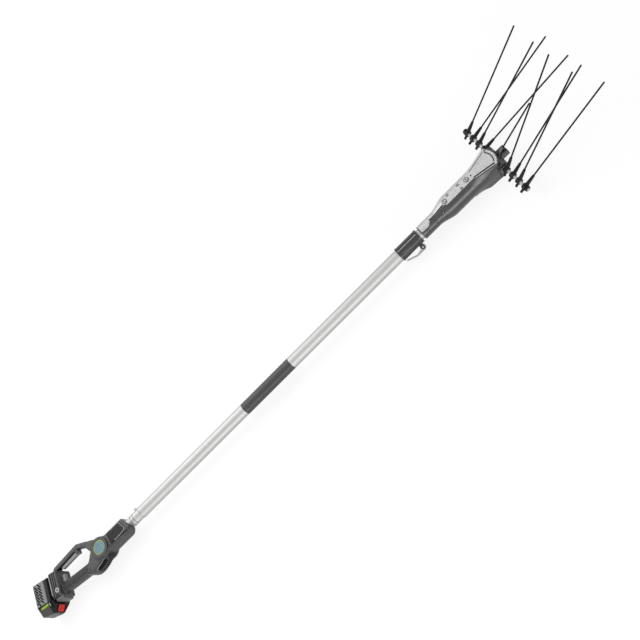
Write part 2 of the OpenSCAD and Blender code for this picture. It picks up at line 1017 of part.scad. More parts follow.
module rear_button() {
    color("darkgray")
        rear_frame() {
            span([-shell_wall - move_gap - rear_rim_t, -rear_w / 2, -rear_t / 2], [rear_up, rear_w / 2, rear_t / 2]);
            span([-shell_wall - move_gap - rear_rim_t, -rear_w / 2 - rear_rim, -rear_t / 2 - rear_rim],
                 [-shell_wall - move_gap, rear_w / 2 + rear_rim, rear_t / 2 + rear_rim]);
        }
}

// Extrudes an outline drawn across the dock along the way that the battery slides
module along_slide(from, to) {
    translate([0, to, 0])
        rotate([90, 0, 0])
            linear_extrude(to - from)
                children();
}

// Rail of the dock, or its slot when it is widened by a gap
module rail_outline(gap) {
    translate([-rail_neck_t - gap, -rail_neck_w / 2 - gap])
        square([rail_neck_t + shell_wall + 2 * gap, rail_neck_w + 2 * gap]);
    translate([-rail_neck_t - rail_head_t - gap, -rail_head_w / 2 - gap])
        square([rail_head_t + 2 * gap, rail_head_w + 2 * gap]);
}

module terminal_strips() {
    for (i = [1:term_n])
        translate([term_t / 2 - rail_neck_t - rail_head_t, -rail_low + term_l, (i - (term_n + 1) / 2) * term_pitch])
            cube([term_t, term_l, term_w], center = true);
}

module battery_dock() {
    color([0.07, 0.07, 0.08])
        dock_frame()
            difference() {
                along_slide(-rail_low, rail_high) {
                    rail_outline(0);
                    translate([shell_wall, -rail_flange_w / 2])
                        square([rail_flange_t, rail_flange_w]);
                }
                terminal_strips();
            }
}

module dock_terminals() {
    color("gold")
        dock_frame()
            terminal_strips();
}

// Battery

module battery_form() {
    dock_frame()
        intersection() {
            linear_extrude(2 * rest_h, center = true)
                polygon(battery_outline);
            translate([-2 * battery_t, 0, 0])
                rotate([90, 0, 90])
                    linear_extrude(3 * battery_t)
                        polygon(battery_section);
        }
}

// Places of the cells, in rows away from the lid
cell_pitch = cell_d + cell_gap;
cell_places = [
    for (r = [1:cell_rows], c = [1:cell_cols])
        [-battery_lid_t - (r - 0.5) * cell_pitch, cell_top - (c - 0.5) * cell_pitch]
];

module battery_cells() {
    color("steelblue")
        dock_frame()
            for (p = cell_places)
                translate([p[0], p[1], 0])
                    cylinder(d = cell_d, h = cell_l, center = true);
}

module vent_slots() {
    for (c = [1:vent_columns], i = [1:vents])
        translate([vent_back - battery_t + (c - 1) * vent_column_pitch, vent_high - (i - 1) * vent_pitch, rest_h])
            rotate([0, 0, vent_turn])
                cube([vent_l, vent_w, 2 * vent_deep], center = true);
}

module battery_case() {
    color([0.22, 0.22, 0.23])
        difference() {
            battery_form();
            dock_frame() {
                span([-battery_lid_t, -2 * battery_nose, -2 * rest_h], [battery_t, 2 * battery_nose, 2 * rest_h]);
                span([-battery_lid_t - cell_rows * cell_pitch - cell_gap / 2,
                      cell_top - cell_cols * cell_pitch - cell_gap / 2, -(cell_l + cell_gap) / 2],
                     [0, cell_top + cell_gap / 2, (cell_l + cell_gap) / 2]);
                vent_slots();
            }
        }
}

// Frame of the latch: the middle of the slanted face that it stands in, X outwards
chin_point = [battery_chin, -battery_chin_y];
nose_point = [-nose_front, -battery_nose];
latch_place = (chin_point + nose_point) / 2;
latch_angle = atan2(nose_point[1] - chin_point[1], nose_point[0] - chin_point[0]) + 90;
module latch_frame() {
    dock_frame()
        translate([latch_place[0], latch_place[1], 0])
            rotate([0, 0, latch_angle])
                children();
}

module battery_lid() {
    pocket_l = latch_l / 2 + move_gap;
    pocket_w = latch_w / 2 + move_gap;
    color([0.1, 0.1, 0.11])
        difference() {
            battery_form();
            dock_frame() {
                span([-2 * battery_t, -2 * battery_nose, -2 * rest_h],
                     [-battery_lid_t, 2 * battery_nose, 2 * rest_h]);
                along_slide(-rail_low - rail_gap, battery_high + over)
                    rail_outline(rail_gap);
            }
            latch_frame()
                span([-latch_t - latch_travel, -pocket_l, -pocket_w], [latch_t, pocket_l, pocket_w]);
        }
}

module battery_latch() {
    color("red")
        latch_frame()
            span([latch_proud - latch_t, -latch_l / 2, -latch_w / 2], [latch_proud, latch_l / 2, latch_w / 2]);
}

// Head

neck_r = neck_d / 2;
belly_r = belly_d / 2;
fan_full_x = head_l - fan_full_in;
cover_arc_x = head_l + cover_front - cover_arc_r;

// Outer form of the head, or its hollow when it is drawn in by the wall
module head_form(k) {
    difference() {
        union() {
            rotate([0, 90, 0])
                rotate_extrude()
                    polygon([
                        [0, 0], [neck_r - k, 0], [neck_r - k, neck_l], [belly_r - k, neck_l + taper_l],
                        [belly_r - k, fan_full_x], [0, fan_full_x]
                    ]);
            intersection() {
                linear_extrude(4 * rest_h, center = true)
                    fan_plan(k);
                rotate([90, 0, 0])
                    linear_extrude(2 * fan_w, center = true)
                        fan_side(k);
                fan_flank(k, 1);
                fan_flank(k, -1);
                fan_front(k);
            }
        }
        span([-over, -fan_w, head_top - k], [head_l + 2 * nose_r, fan_w, 2 * head_top]);
    }
}

// Everything inside the leaning flank on one side of the fan
module fan_flank(k, side) {
    far = 2 * head_l;
    translate([head_l - fan_edge_in, side * fan_edge_w / 2, head_top])
        rotate([0, 0, side * fan_edge_turn])
            rotate([side * fan_flank_turn, 0, 0])
                translate([0, -side * (far / 2 + k), 0])
                    cube([2 * far, far, 2 * far], center = true);
}

// The fan seen from above
module fan_plan(k) {
    polygon([
        [fan_x, k - fan_root_w / 2], [fan_full_x, k - belly_r - over], [head_l, k - fan_w / 2],
        [head_l + 2 * nose_r, k - fan_w / 2], [head_l + 2 * nose_r, fan_w / 2 - k],
        [head_l, fan_w / 2 - k], [fan_full_x, belly_r + over - k], [fan_x, fan_root_w / 2 - k]
    ]);
}

// The fan seen from the side
module fan_side(k) {
    polygon([
        [fan_x, k - fan_root_h], [fan_full_x, k - rest_h], [head_l + 2 * nose_r, k - rest_h],
        [head_l + 2 * nose_r, head_top + over], [fan_x, head_top + over]
    ]);
}

// Everything behind the arched front wall, and a round nose about the rake shaft
module fan_front(k) {
    linear_extrude(4 * rest_h, center = true) {
        translate([cover_arc_x, 0])
            circle(cover_arc_r + front_rim - k);
        translate([0, -fan_w])
            square([cover_arc_x, 2 * fan_w]);
    }
    translate([head_l, 0, 0])
        rod_y(nose_r - k, 2 * fan_w);
}

module head_hollow() {
    intersection() {
        head_form(head_wall);
        span([socket_l + head_wall, -fan_w, -2 * rest_h], [head_l + 2 * nose_r, fan_w, 2 * rest_h]);
    }
}

module head_wall_form() {
    difference() {
        head_form(0);
        head_hollow();
        rod_x(inner_r + fit_gap, -over, socket_l);
    }
}

// The part of the head that belongs to the cover
module cover_zone(gap) {
    side = [
        [cover_start - gap, cover_neck_w / 2 + gap], [neck_l + taper_l, cover_belly_w / 2 + gap],
        [head_l - cover_fan_in, cover_belly_w / 2 + gap], [head_l, cover_fan_w / 2 + gap],
        [head_l + fan_w, cover_fan_w / 2 + gap]
    ];
    count = len(side);
    translate([0, 0, cover_low - gap])
        linear_extrude(2 * head_top)
            difference() {
                polygon(concat(side, [for (i = [1:count]) [side[count - i][0], -side[count - i][1]]]));
                difference() {
                    translate([cover_arc_x, -fan_w])
                        square([2 * fan_w, 2 * fan_w]);
                    translate([cover_arc_x, 0])
                        circle(cover_arc_r + gap);
                }
            }
}

module cover_screw_holes() {
    for (x = cover_screw_x)
        translate([x, 0, 0])
            cylinder(d = cover_screw_d + 2 * fit_gap, h = 2 * head_top);
}

module bearing_seats() {
    rake_frame() {
        for (s = [-1, 1])
            translate([0, s * (fan_w / 2 - bearing_in), 0])
                rod_y(shaft_bearing_d / 2 + fit_gap, 2 * shaft_bearing_w);
        rod_y(shaft_d / 2 + over, 2 * fan_w);
    }
}

// Bridges across the body that the cover's screws hold on to, under the cover
module cover_bridges() {
    top = head_top - head_wall - seat_gap;
    difference() {
        for (x = cover_screw_x)
            span([x - bridge_l / 2, -belly_d, top - bridge_t], [x + bridge_l / 2, belly_d, top]);
        difference() {
            cover_zone(cover_gap);
            head_form(head_wall + seat_gap);
        }
    }
}

module head_body() {
    color([0.3, 0.3, 0.32])
        head_frame()
            difference() {
                union() {
                    difference() {
                        head_wall_form();
                        cover_zone(cover_gap);
                    }
                    intersection() {
                        head_form(0);
                        union() {
                            rake_frame()
                                for (s = [-1, 1])
                                    translate([0, s * (fan_w / 2 - bearing_boss_in / 2), 0])
                                        rod_y(bearing_boss_d / 2, bearing_boss_in);
                            cover_bridges();
                        }
                    }
                }
                bearing_seats();
                cover_screw_holes();
                span([head_l, -window_w / 2, -window_h / 2], [head_l + 2 * nose_r, window_w / 2, window_h / 2]);
            }
}

// Slot through the cover along its arched front
module cover_slot() {
    r = cover_arc_r - cover_slot_in;
    translate([cover_arc_x, 0, cover_low])
        linear_extrude(head_top)
            intersection() {
                difference() {
                    circle(r);
                    circle(r - cover_slot_w);
                }
                translate([0, -cover_slot_l / 2])
                    square([cover_arc_r, cover_slot_l]);
            }
}

module head_cover() {
    color("silver")
        head_frame()
            difference() {
                union() {
                    intersection() {
                        head_wall_form();
                        cover_zone(0);
                    }
                    for (x = cover_screw_x)
                        translate([x, 0, head_top - head_wall])
                            cylinder(d = cover_boss_d, h = head_wall + cover_boss_t);
                }
                cover_screw_holes();
                span([head_l, -window_w / 2, -window_h / 2], [head_l + 2 * nose_r, window_w / 2, window_h / 2]);
                cover_slot();
                translate([head_l - cover_fan_in, 0, cover_low])
                    cylinder(d = cover_hole_d, h = head_top);
            }
}

module cover_screws() {
    color("gray")
        head_frame()
            for (x = cover_screw_x)
                translate([x, 0, head_top + cover_boss_t]) {
                    cylinder(d = cover_screw_head_d, h = cover_screw_head_t);
                    translate([0, 0, -head_wall - cover_boss_t - bridge_t])
                        cylinder(d = cover_screw_d, h = head_wall + cover_boss_t + bridge_t);
                }
}

// Drive

// Frame of the motor's axis, with X measured along the head
module motor_frame() {
    head_frame()
        translate([0, 0, -gear_distance])
            children();
}

module motor_can() {
    start = plate_x - motor_l;
    color("dimgray")
        motor_frame()
            difference() {
                rod_x(motor_d / 2, start, plate_x);
                rod_x(motor_d / 2 - motor_wall, start + motor_end_t, plate_x - motor_end_t);
                rod_x(motor_shaft_d / 2 + run_gap, start - over, plate_x + over);
            }
}

module motor_rotor() {
    start = plate_x - motor_l;
    ends = motor_end_t + rotor_end_gap;
    color("peru")
        motor_frame() {
            rod_x(motor_d / 2 - motor_wall - rotor_gap, start + ends, plate_x - ends);
            rod_x(motor_shaft_d / 2, start - motor_shaft_out, gear_start + gear_w);
        }
}

module gear_plate() {
    color("lightslategray")
        head_frame()
            difference() {
                intersection() {
                    head_form(head_wall + seat_gap);
                    span([plate_x, -fan_w, -2 * rest_h], [plate_x + plate_t, fan_w, 2 * rest_h]);
                }
                rod_x(crank_shaft_d / 2 + run_gap, plate_x - over, plate_x + plate_t + over);
                translate([0, 0, -gear_distance])
                    rod_x(plate_hole_d / 2, plate_x - over, plate_x + plate_t + over);
            }
}

// Spur gear outline with involute flanks, a tooth centred on the X axis
function involute(base, a) = base * [
    cos(a) + a * PI / 180 * sin(a),
    sin(a) - a * PI / 180 * cos(a)
];
function turned(p, a) = [p[0] * cos(a) - p[1] * sin(a), p[0] * sin(a) + p[1] * cos(a)];
function unwound(base, r) = tan(acos(min(1, base / r))) * 180 / PI;

module gear_outline(teeth) {
    pitch_r = gear_m * teeth / 2;
    base = pitch_r * cos(pressure_angle);
    tip = pitch_r + gear_m * addendum_share;
    root = pitch_r - gear_m * dedendum_share;
    half = 90 / teeth * (1 - backlash_share) + unwound(base, pitch_r) - pressure_angle;
    a0 = unwound(base, max(base, root));
    a1 = unwound(base, tip);
    lower = [for (i = [0:flank_steps]) turned(involute(base, a0 + (a1 - a0) * i / flank_steps), -half)];
    tooth = concat([turned([root, 0], -half)], lower);
    count = len(tooth);
    outline = concat(tooth, [for (i = [1:count]) [tooth[count - i][0], -tooth[count - i][1]]]);
    polygon([for (t = [1:teeth], p = outline) turned(p, 360 / teeth * t)]);
}

module spur_x(teeth, x) {
    translate([x, 0, 0])
        rotate([90, 0, 90])
            linear_extrude(gear_w)
                gear_outline(teeth);
}

module drive_pinion() {
    color("goldenrod")
        motor_frame()
            difference() {
                spur_x(pinion_teeth, gear_start);
                rod_x(motor_shaft_d / 2 + fit_gap, gear_start - over, gear_start + gear_w + over);
            }
}

module crank_gear() {
    gear_end = gear_start + gear_w;
    color("goldenrod")
        head_frame() {
            spur_x(crank_teeth, gear_start);
            rod_x(crank_shaft_d / 2, plate_x + crank_shaft_in, gear_start);
            translate([0, crank_throw, 0]) {
                rod_x(crank_step_d / 2, gear_end, crank_bearing_x - seat_gap);
                rod_x(crank_pin_d / 2, gear_end, crank_bearing_x + crank_bearing_w + crank_pin_out);
            }
        }
}

module crank_bearing() {
    color("silver")
        head_frame()
            translate([0, crank_throw, 0])
                pipe_x(crank_bearing_d / 2, crank_pin_d / 2 + fit_gap,
                       crank_bearing_x, crank_bearing_x + crank_bearing_w);
}

// Rake

// Frame of the rake shaft, in the frame of the head
module rake_frame() {
    translate([head_l, 0, 0])
        children();
}

// Turns X along a tine that leans up and toes to one side
module tine_frame(lean, toe) {
    rotate([0, 0, toe])
        rotate([0, -lean, 0])
            children();
}

module tine_socket() {
    rotate([0, 90, 0])
        cylinder(d1 = holder_root_d, d2 = holder_tip_d, h = holder_reach);
}

module tine_bore() {
    rod_x(tine_d / 2 + fit_gap, tine_in, holder_reach + over);
}

module tine_rod(l) {
    end = l - tine_d / 2;
    rod_x(tine_d / 2, tine_in + seat_gap, end);
    translate([end, 0, 0])
        sphere(d = tine_d);
}

module rocker_fork() {
    slot_half = crank_bearing_d / 2 + fork_play;
    fork_half = slot_half + fork_prong_t;
    web_x = fork_gap + crank_bearing_w / 2 - fork_arm;
    tip_x = -fork_arm - crank_bearing_w / 2 - fork_tip;
    color([0.1, 0.1, 0.1])
        head_frame()
            rake_frame()
                difference() {
                    union() {
                        rod_y(fork_hub_d / 2, fork_w);
                        span([web_x, -fork_w / 2, -fork_half], [-fork_web_in, fork_w / 2, fork_half]);
                        for (s = [-1, 1])
                            translate([tip_x, -fork_w / 2, s * (slot_half + fork_prong_t / 2) - fork_prong_t / 2])
                                cube([web_x - tip_x + over, fork_w, fork_prong_t]);
                        span([fork_nose_in, -fork_nose_w / 2, -fork_nose_t / 2],
                             [fork_nose_l, fork_nose_w / 2, fork_nose_t / 2]);
                        tine_frame(lean_centre, 0)
                            tine_socket();
                    }
                    rod_y(shaft_d / 2 + fit_gap, fork_w + 2 * over);
                    tine_frame(lean_centre, 0)
                        tine_bore();
                }
}

module shaft_bearings() {
    color("silver")
        head_frame()
            rake_frame()
                for (s = [-1, 1])
                    translate([0, s * (fan_w / 2 - bearing_in - shaft_bearing_w / 2), 0])
                        difference() {
                            rod_y(shaft_bearing_d / 2, shaft_bearing_w);
                            rod_y(shaft_d / 2 + run_gap, shaft_bearing_w + 2 * over);
                        }
}

module rake_shaft() {
    color("gainsboro")
        head_frame()
            rake_frame()
                rod_y(shaft_d / 2, 2 * shaft_half);
}

module end_nuts() {
    color("gray")
        head_frame()
            rake_frame()
                for (s = [-1, 1])
                    translate([0, s * (shaft_half - shaft_out - nut_t / 2), 0])
                        difference() {
                            rotate([90, 0, 0])
                                cylinder(d = nut_d, h = nut_t, center = true, $fn = 6);
                            rod_y(shaft_d / 2 + fit_gap, nut_t + 2 * over);
                        }
}

// Holders are counted from the guard's side; the rank counts outwards from the middle
function holder_side(i) = i <= holders_side ? 1 : -1;
function holder_rank(i) = i <= holders_side ? holders_side - i : i - holders_side - 1;
function holder_y(i) = holder_side(i) * (holder_first + holder_rank(i) * holder_pitch);
function holder_lean(i) = i % 2 == 1 ? lean_high : lean_low;

module holder_frame(i) {
    head_frame()
        rake_frame()
            translate([0, holder_y(i), 0])
                children();
}

module tine_holder(i) {
    toe = -holder_side(i) * toe_in[holder_rank(i)];
    tail_end = holder_tail_d / 2 - holder_tail;
    color([0.09, 0.09, 0.09])
        holder_frame(i)
            difference() {
                union() {
                    rod_y(holder_ring_d / 2, holder_ring_w);
                    tine_frame(holder_lean(i), toe) {
                        tine_socket();
                        rod_x(holder_tail_d / 2, tail_end, 0);
                        translate([tail_end, 0, 0])
                            sphere(d = holder_tail_d);
                    }
                }
                rod_y(shaft_d / 2 + fit_gap, 2 * holder_ring_w);
                tine_frame(holder_lean(i), toe)
                    tine_bore();
            }
}

module tine(i) {
    color([0.05, 0.05, 0.05])
        holder_frame(i)
            tine_frame(holder_lean(i), -holder_side(i) * toe_in[holder_rank(i)])
                tine_rod(tine_l);
}

module centre_tine() {
    color([0.05, 0.05, 0.05])
        head_frame()
            rake_frame()
                tine_frame(lean_centre, 0)
                    tine_rod(centre_tine_l);
}

placed() outer_tube();
placed() pole_ferrule();
placed() snap_button();
placed() handle_shell_upper();
placed() handle_shell_lower();
placed() shell_screws();
placed() grip_pad();
placed() badge_bezel();
placed() badge_disc();
placed() sleeve_pad();
placed() sleeve_end_ring();
placed() hub_grille();
placed() strap_bush();
placed() control_board();
placed() lever_switch();
placed() squeeze_lever();
placed() squeeze_pin();
placed() rear_button();
placed() battery_dock();
placed() dock_terminals();
placed() battery_case();
placed() battery_lid();
placed() battery_cells();
placed() battery_latch();
placed() collar_body();
placed() collar_bush();
placed() cam_lever();
placed() cam_pin();
placed() inner_tube();
placed() tube_guide();
placed() head_body();
placed() head_cover();
placed() cover_screws();
placed() motor_can();
placed() motor_rotor();
placed() drive_pinion();
placed() gear_plate();
placed() crank_gear();
placed() crank_bearing();
placed() rocker_fork();
placed() shaft_bearings();
placed() rake_shaft();
placed() end_nuts();
placed() centre_tine();
for (i = [1:holders]) {
    placed() tine_holder(i);
    placed() tine(i);
}
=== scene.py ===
"""Looks of an electric olive harvester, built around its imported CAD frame."""

import json
import math

import bmesh
import bpy
import numpy as np
from mathutils import Matrix, Vector


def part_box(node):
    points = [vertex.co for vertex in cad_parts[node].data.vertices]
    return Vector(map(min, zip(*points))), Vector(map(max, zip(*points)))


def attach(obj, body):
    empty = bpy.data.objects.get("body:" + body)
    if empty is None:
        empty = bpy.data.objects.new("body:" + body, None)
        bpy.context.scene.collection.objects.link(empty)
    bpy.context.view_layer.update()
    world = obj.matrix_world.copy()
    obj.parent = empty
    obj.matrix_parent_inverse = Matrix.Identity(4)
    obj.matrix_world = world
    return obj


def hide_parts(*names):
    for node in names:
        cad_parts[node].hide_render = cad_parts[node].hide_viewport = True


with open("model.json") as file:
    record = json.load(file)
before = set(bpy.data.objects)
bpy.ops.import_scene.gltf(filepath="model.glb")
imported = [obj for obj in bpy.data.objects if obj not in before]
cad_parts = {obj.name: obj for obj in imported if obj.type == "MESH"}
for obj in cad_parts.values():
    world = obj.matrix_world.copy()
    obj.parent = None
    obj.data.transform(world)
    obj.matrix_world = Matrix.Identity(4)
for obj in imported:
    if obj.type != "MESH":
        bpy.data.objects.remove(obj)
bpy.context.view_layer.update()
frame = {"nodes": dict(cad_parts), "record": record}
scene = bpy.context.scene

MM = 0.001
ALONG, UP = (1, 0, 0), (0, 0, 1)
badge_lo, badge_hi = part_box("badge_disc")
tube_lo, tube_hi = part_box("outer_tube")
# The hub's centre: lengths below are measured from it, in millimetres, along the row's axes
HUB = np.array([(badge_lo.x + badge_hi.x) / 2, 0.0, (tube_lo.z + tube_hi.z) / 2])


def row(points):
    """Points in millimetres from the hub's centre, as metres in the row frame."""
    return np.asarray(points, float) * MM + HUB


def unit(way):
    return np.array(way, float) / np.linalg.norm(way)


# Camera and stage

EYE = (1582, -1543, 2397)
LOOK_AT = (1034, 37.5, 0)
ROLL = math.radians(-60.92)
LENS_PX = 950
FRAME_PX = 640
SENSOR = 36.0
CLIP = (0.05, 50)


def make_camera():
    data = bpy.data.cameras.new("camera")
    data.sensor_width = SENSOR
    data.lens = LENS_PX / FRAME_PX * SENSOR
    data.clip_start, data.clip_end = CLIP
    cam = bpy.data.objects.new("camera", data)
    scene.collection.objects.link(cam)
    eye, aim = Vector(row(EYE)), Vector(row(LOOK_AT))
    turn = (aim - eye).to_track_quat("-Z", "Y").to_matrix()
    cam.matrix_world = Matrix.Translation(eye) @ (turn @ Matrix.Rotation(ROLL, 3, "Z")).to_4x4()
    scene.camera = cam


def area_light(name, place, aim, width, height, power):
    data = bpy.data.lights.new(name, "AREA")
    data.shape = "RECTANGLE"
    data.size, data.size_y = width, height
    data.energy = power
    lamp = bpy.data.objects.new(name, data)
    scene.collection.objects.link(lamp)
    lamp.location = place
    lamp.rotation_mode = "QUATERNION"
    lamp.rotation_quaternion = (Vector(aim) - Vector(place)).to_track_quat("-Z", "Y")


def seen_ray(tree):
    """1 for rays from the camera, from gloss and through glass."""
    path = tree.nodes.new("ShaderNodeLightPath")
    total = path.outputs["Is Camera Ray"]
    for name in ("Is Glossy Ray", "Is Transmission Ray"):
        add = tree.nodes.new("ShaderNodeMath")
        add.operation = "MAXIMUM"
        tree.links.new(total, add.inputs[0])
        tree.links.new(path.outputs[name], add.inputs[1])
        total = add.outputs[0]
    return total


WHITE = (1, 1, 1, 1)
FLOOR_HALF = 6.0
FLOOR_GLOW = 0.83
FLOOR_SHADE = 0.26
WORLD_LIGHT = 0.4


def make_world():
    """White where it is seen, and a softer light on the object."""
    world = bpy.data.worlds.new("studio")
    world.use_nodes = True
    scene.world = world
    tree = world.node_tree
    tree.nodes.clear()
    out = tree.nodes.new("ShaderNodeOutputWorld")
    soft = tree.nodes.new("ShaderNodeBackground")
    soft.inputs["Strength"].default_value = WORLD_LIGHT
    white = tree.nodes.new("ShaderNodeBackground")
    mix = tree.nodes.new("ShaderNodeMixShader")
    for bg in (soft, white):
        bg.inputs["Color"].default_value = WHITE
    tree.links.new(seen_ray(tree), mix.inputs[0])
    tree.links.new(soft.outputs[0], mix.inputs[1])
    tree.links.new(white.outputs[0], mix.inputs[2])
    tree.links.new(mix.outputs[0], out.inputs[0])


def make_floor():
    """A pale floor that keeps the object's shadow."""
    mesh = bpy.data.meshes.new("floor")
    s = FLOOR_HALF
    mesh.from_pydata([(-s, -s, 0), (s, -s, 0), (s, s, 0), (-s, s, 0)], [], [(0, 1, 2, 3)])
    floor = bpy.data.objects.new("floor", mesh)
    scene.collection.objects.link(floor)
    mat = bpy.data.materials.new("pale_floor")
    mat.use_nodes = True
    tree = mat.node_tree
    tree.nodes.clear()
    out = tree.nodes.new("ShaderNodeOutputMaterial")
    glow = tree.nodes.new("ShaderNodeEmission")
    glow.inputs["Color"].default_value = WHITE
    share = tree.nodes.new("ShaderNodeMath")
    share.operation = "MULTIPLY"
    share.inputs[1].default_value = FLOOR_GLOW
    tree.links.new(seen_ray(tree), share.inputs[0])
    tree.links.new(share.outputs[0], glow.inputs["Strength"])
    matt = tree.nodes.new("ShaderNodeBsdfDiffuse")
    matt.inputs["Color"].default_value = (FLOOR_SHADE, FLOOR_SHADE, FLOOR_SHADE, 1)
    add = tree.nodes.new("ShaderNodeAddShader")
    tree.links.new(glow.outputs[0], add.inputs[0])
    tree.links.new(matt.outputs[0], add.inputs[1])
    tree.links.new(add.outputs[0], out.inputs[0])
    mesh.materials.append(mat)


scene.view_settings.view_transform = "Standard"
make_camera()
make_world()
make_floor()
area_light("key", place=(-1.4, 2.0, 2.3), aim=(0, 0, 0), width=2.8, height=2.8, power=54)
area_light("side", place=(-0.5, -2.8, 0.7), aim=(-0.5, 0, 0), width=4.2, height=1.1, power=42)


# Materials

# The part of a noise's range that is spread out
NOISE_LOW, NOISE_HIGH = 0.3, 0.7


class Surface:
    """A Principled material whose nodes are added step by step."""

    def __init__(self, name, colour, rough, metal=0.0, **sockets):
        self.mat = bpy.data.materials.new(name)
        self.mat.use_nodes = True
        self.tree = self.mat.node_tree
        self.shader = self.tree.nodes["Principled BSDF"]
        self.colour = (*colour, 1.0)
        self.rough = rough
        self.shader.inputs["Base Color"].default_value = self.colour
        self.shader.inputs["Roughness"].default_value = rough
        self.shader.inputs["Metallic"].default_value = metal
        for key, value in sockets.items():
            self.shader.inputs[key.replace("_", " ")].default_value = value
        self.mat.diffuse_color = self.colour

    def add(self, kind, **values):
        node = self.tree.nodes.new("ShaderNode" + kind)
        for key, value in values.items():
            node.inputs[key.replace("_", " ")].default_value = value
        return node

    def link(self, a, b):
        self.tree.links.new(a, b)

    def noise(self, size, detail, stretch=(1, 1, 1)):
        """Noise whose grain is about size millimetres, in object coordinates."""
        coord = self.add("TexCoord")
        fit = self.add("Mapping", Scale=[k / size / MM for k in stretch])
        self.link(coord.outputs["Object"], fit.inputs["Vector"])
        node = self.add("TexNoise", Scale=1.0, Detail=detail)
        self.link(fit.outputs["Vector"], node.inputs["Vector"])
        return node.outputs["Fac"]

    def ramp(self, value, low, high):
        """A noise spread from low to high."""
        node = self.add("MapRange", From_Min=NOISE_LOW, From_Max=NOISE_HIGH, To_Min=low, To_Max=high)
        self.link(value, node.inputs["Value"])
        return node.outputs["Result"]

    def tint(self, value, darker, lighter):
        """Varies the base colour from darker to lighter shares of it with a noise."""
        mix = self.add("MixRGB")
        for key, k in ((1, darker), (2, lighter)):
            mix.inputs[key].default_value = [min(1.0, c * k) for c in self.colour[:3]] + [1]
        self.link(self.ramp(value, 0, 1), mix.inputs[0])
        self.link(mix.outputs[0], self.shader.inputs["Base Color"])

    def vary_rough(self, value, spread):
        self.link(self.ramp(value, self.rough - spread, self.rough + spread), self.shader.inputs["Roughness"])

    def raise_by(self, value, depth_mm):
        node = self.add("Bump", Distance=depth_mm * MM)
        self.link(value, node.inputs["Height"])
        self.link(node.outputs["Normal"], self.shader.inputs["Normal"])


def moulded(name, colour, rough, grain=0.7, depth=0.06, **sockets):
    """Moulded plastic: a fine spark texture, faint clouds in the colour and rubbed patches."""
    s = Surface(name, colour, rough, **sockets)
    s.tint(s.noise(size=18, detail=4), darker=0.86, lighter=1.12)
    s.vary_rough(s.noise(size=9, detail=3), spread=0.08)
    s.raise_by(s.noise(grain, detail=2), depth)
    return s


STREAK = (0.02, 1, 1)


def turned_metal(name, colour, rough):
    """Drawn or turned metal with fine streaks along the pole."""
    s = Surface(name, colour, rough, metal=1.0)
    streak = s.noise(size=0.5, detail=4, stretch=STREAK)
    s.tint(streak, darker=0.9, lighter=1.06)
    s.vary_rough(s.noise(size=40, detail=3, stretch=STREAK), spread=0.06)
    s.raise_by(streak, depth_mm=0.01)
    return s


def cast_metal(name, colour, rough, metal):
    """Cast metal with a coarse grain."""
    s = Surface(name, colour, rough, metal)
    grain = s.noise(size=1.6, detail=4)
    s.tint(grain, darker=0.62, lighter=1.3)
    s.vary_rough(s.noise(size=6, detail=2), spread=0.08)
    s.raise_by(grain, depth_mm=0.3)
    return s


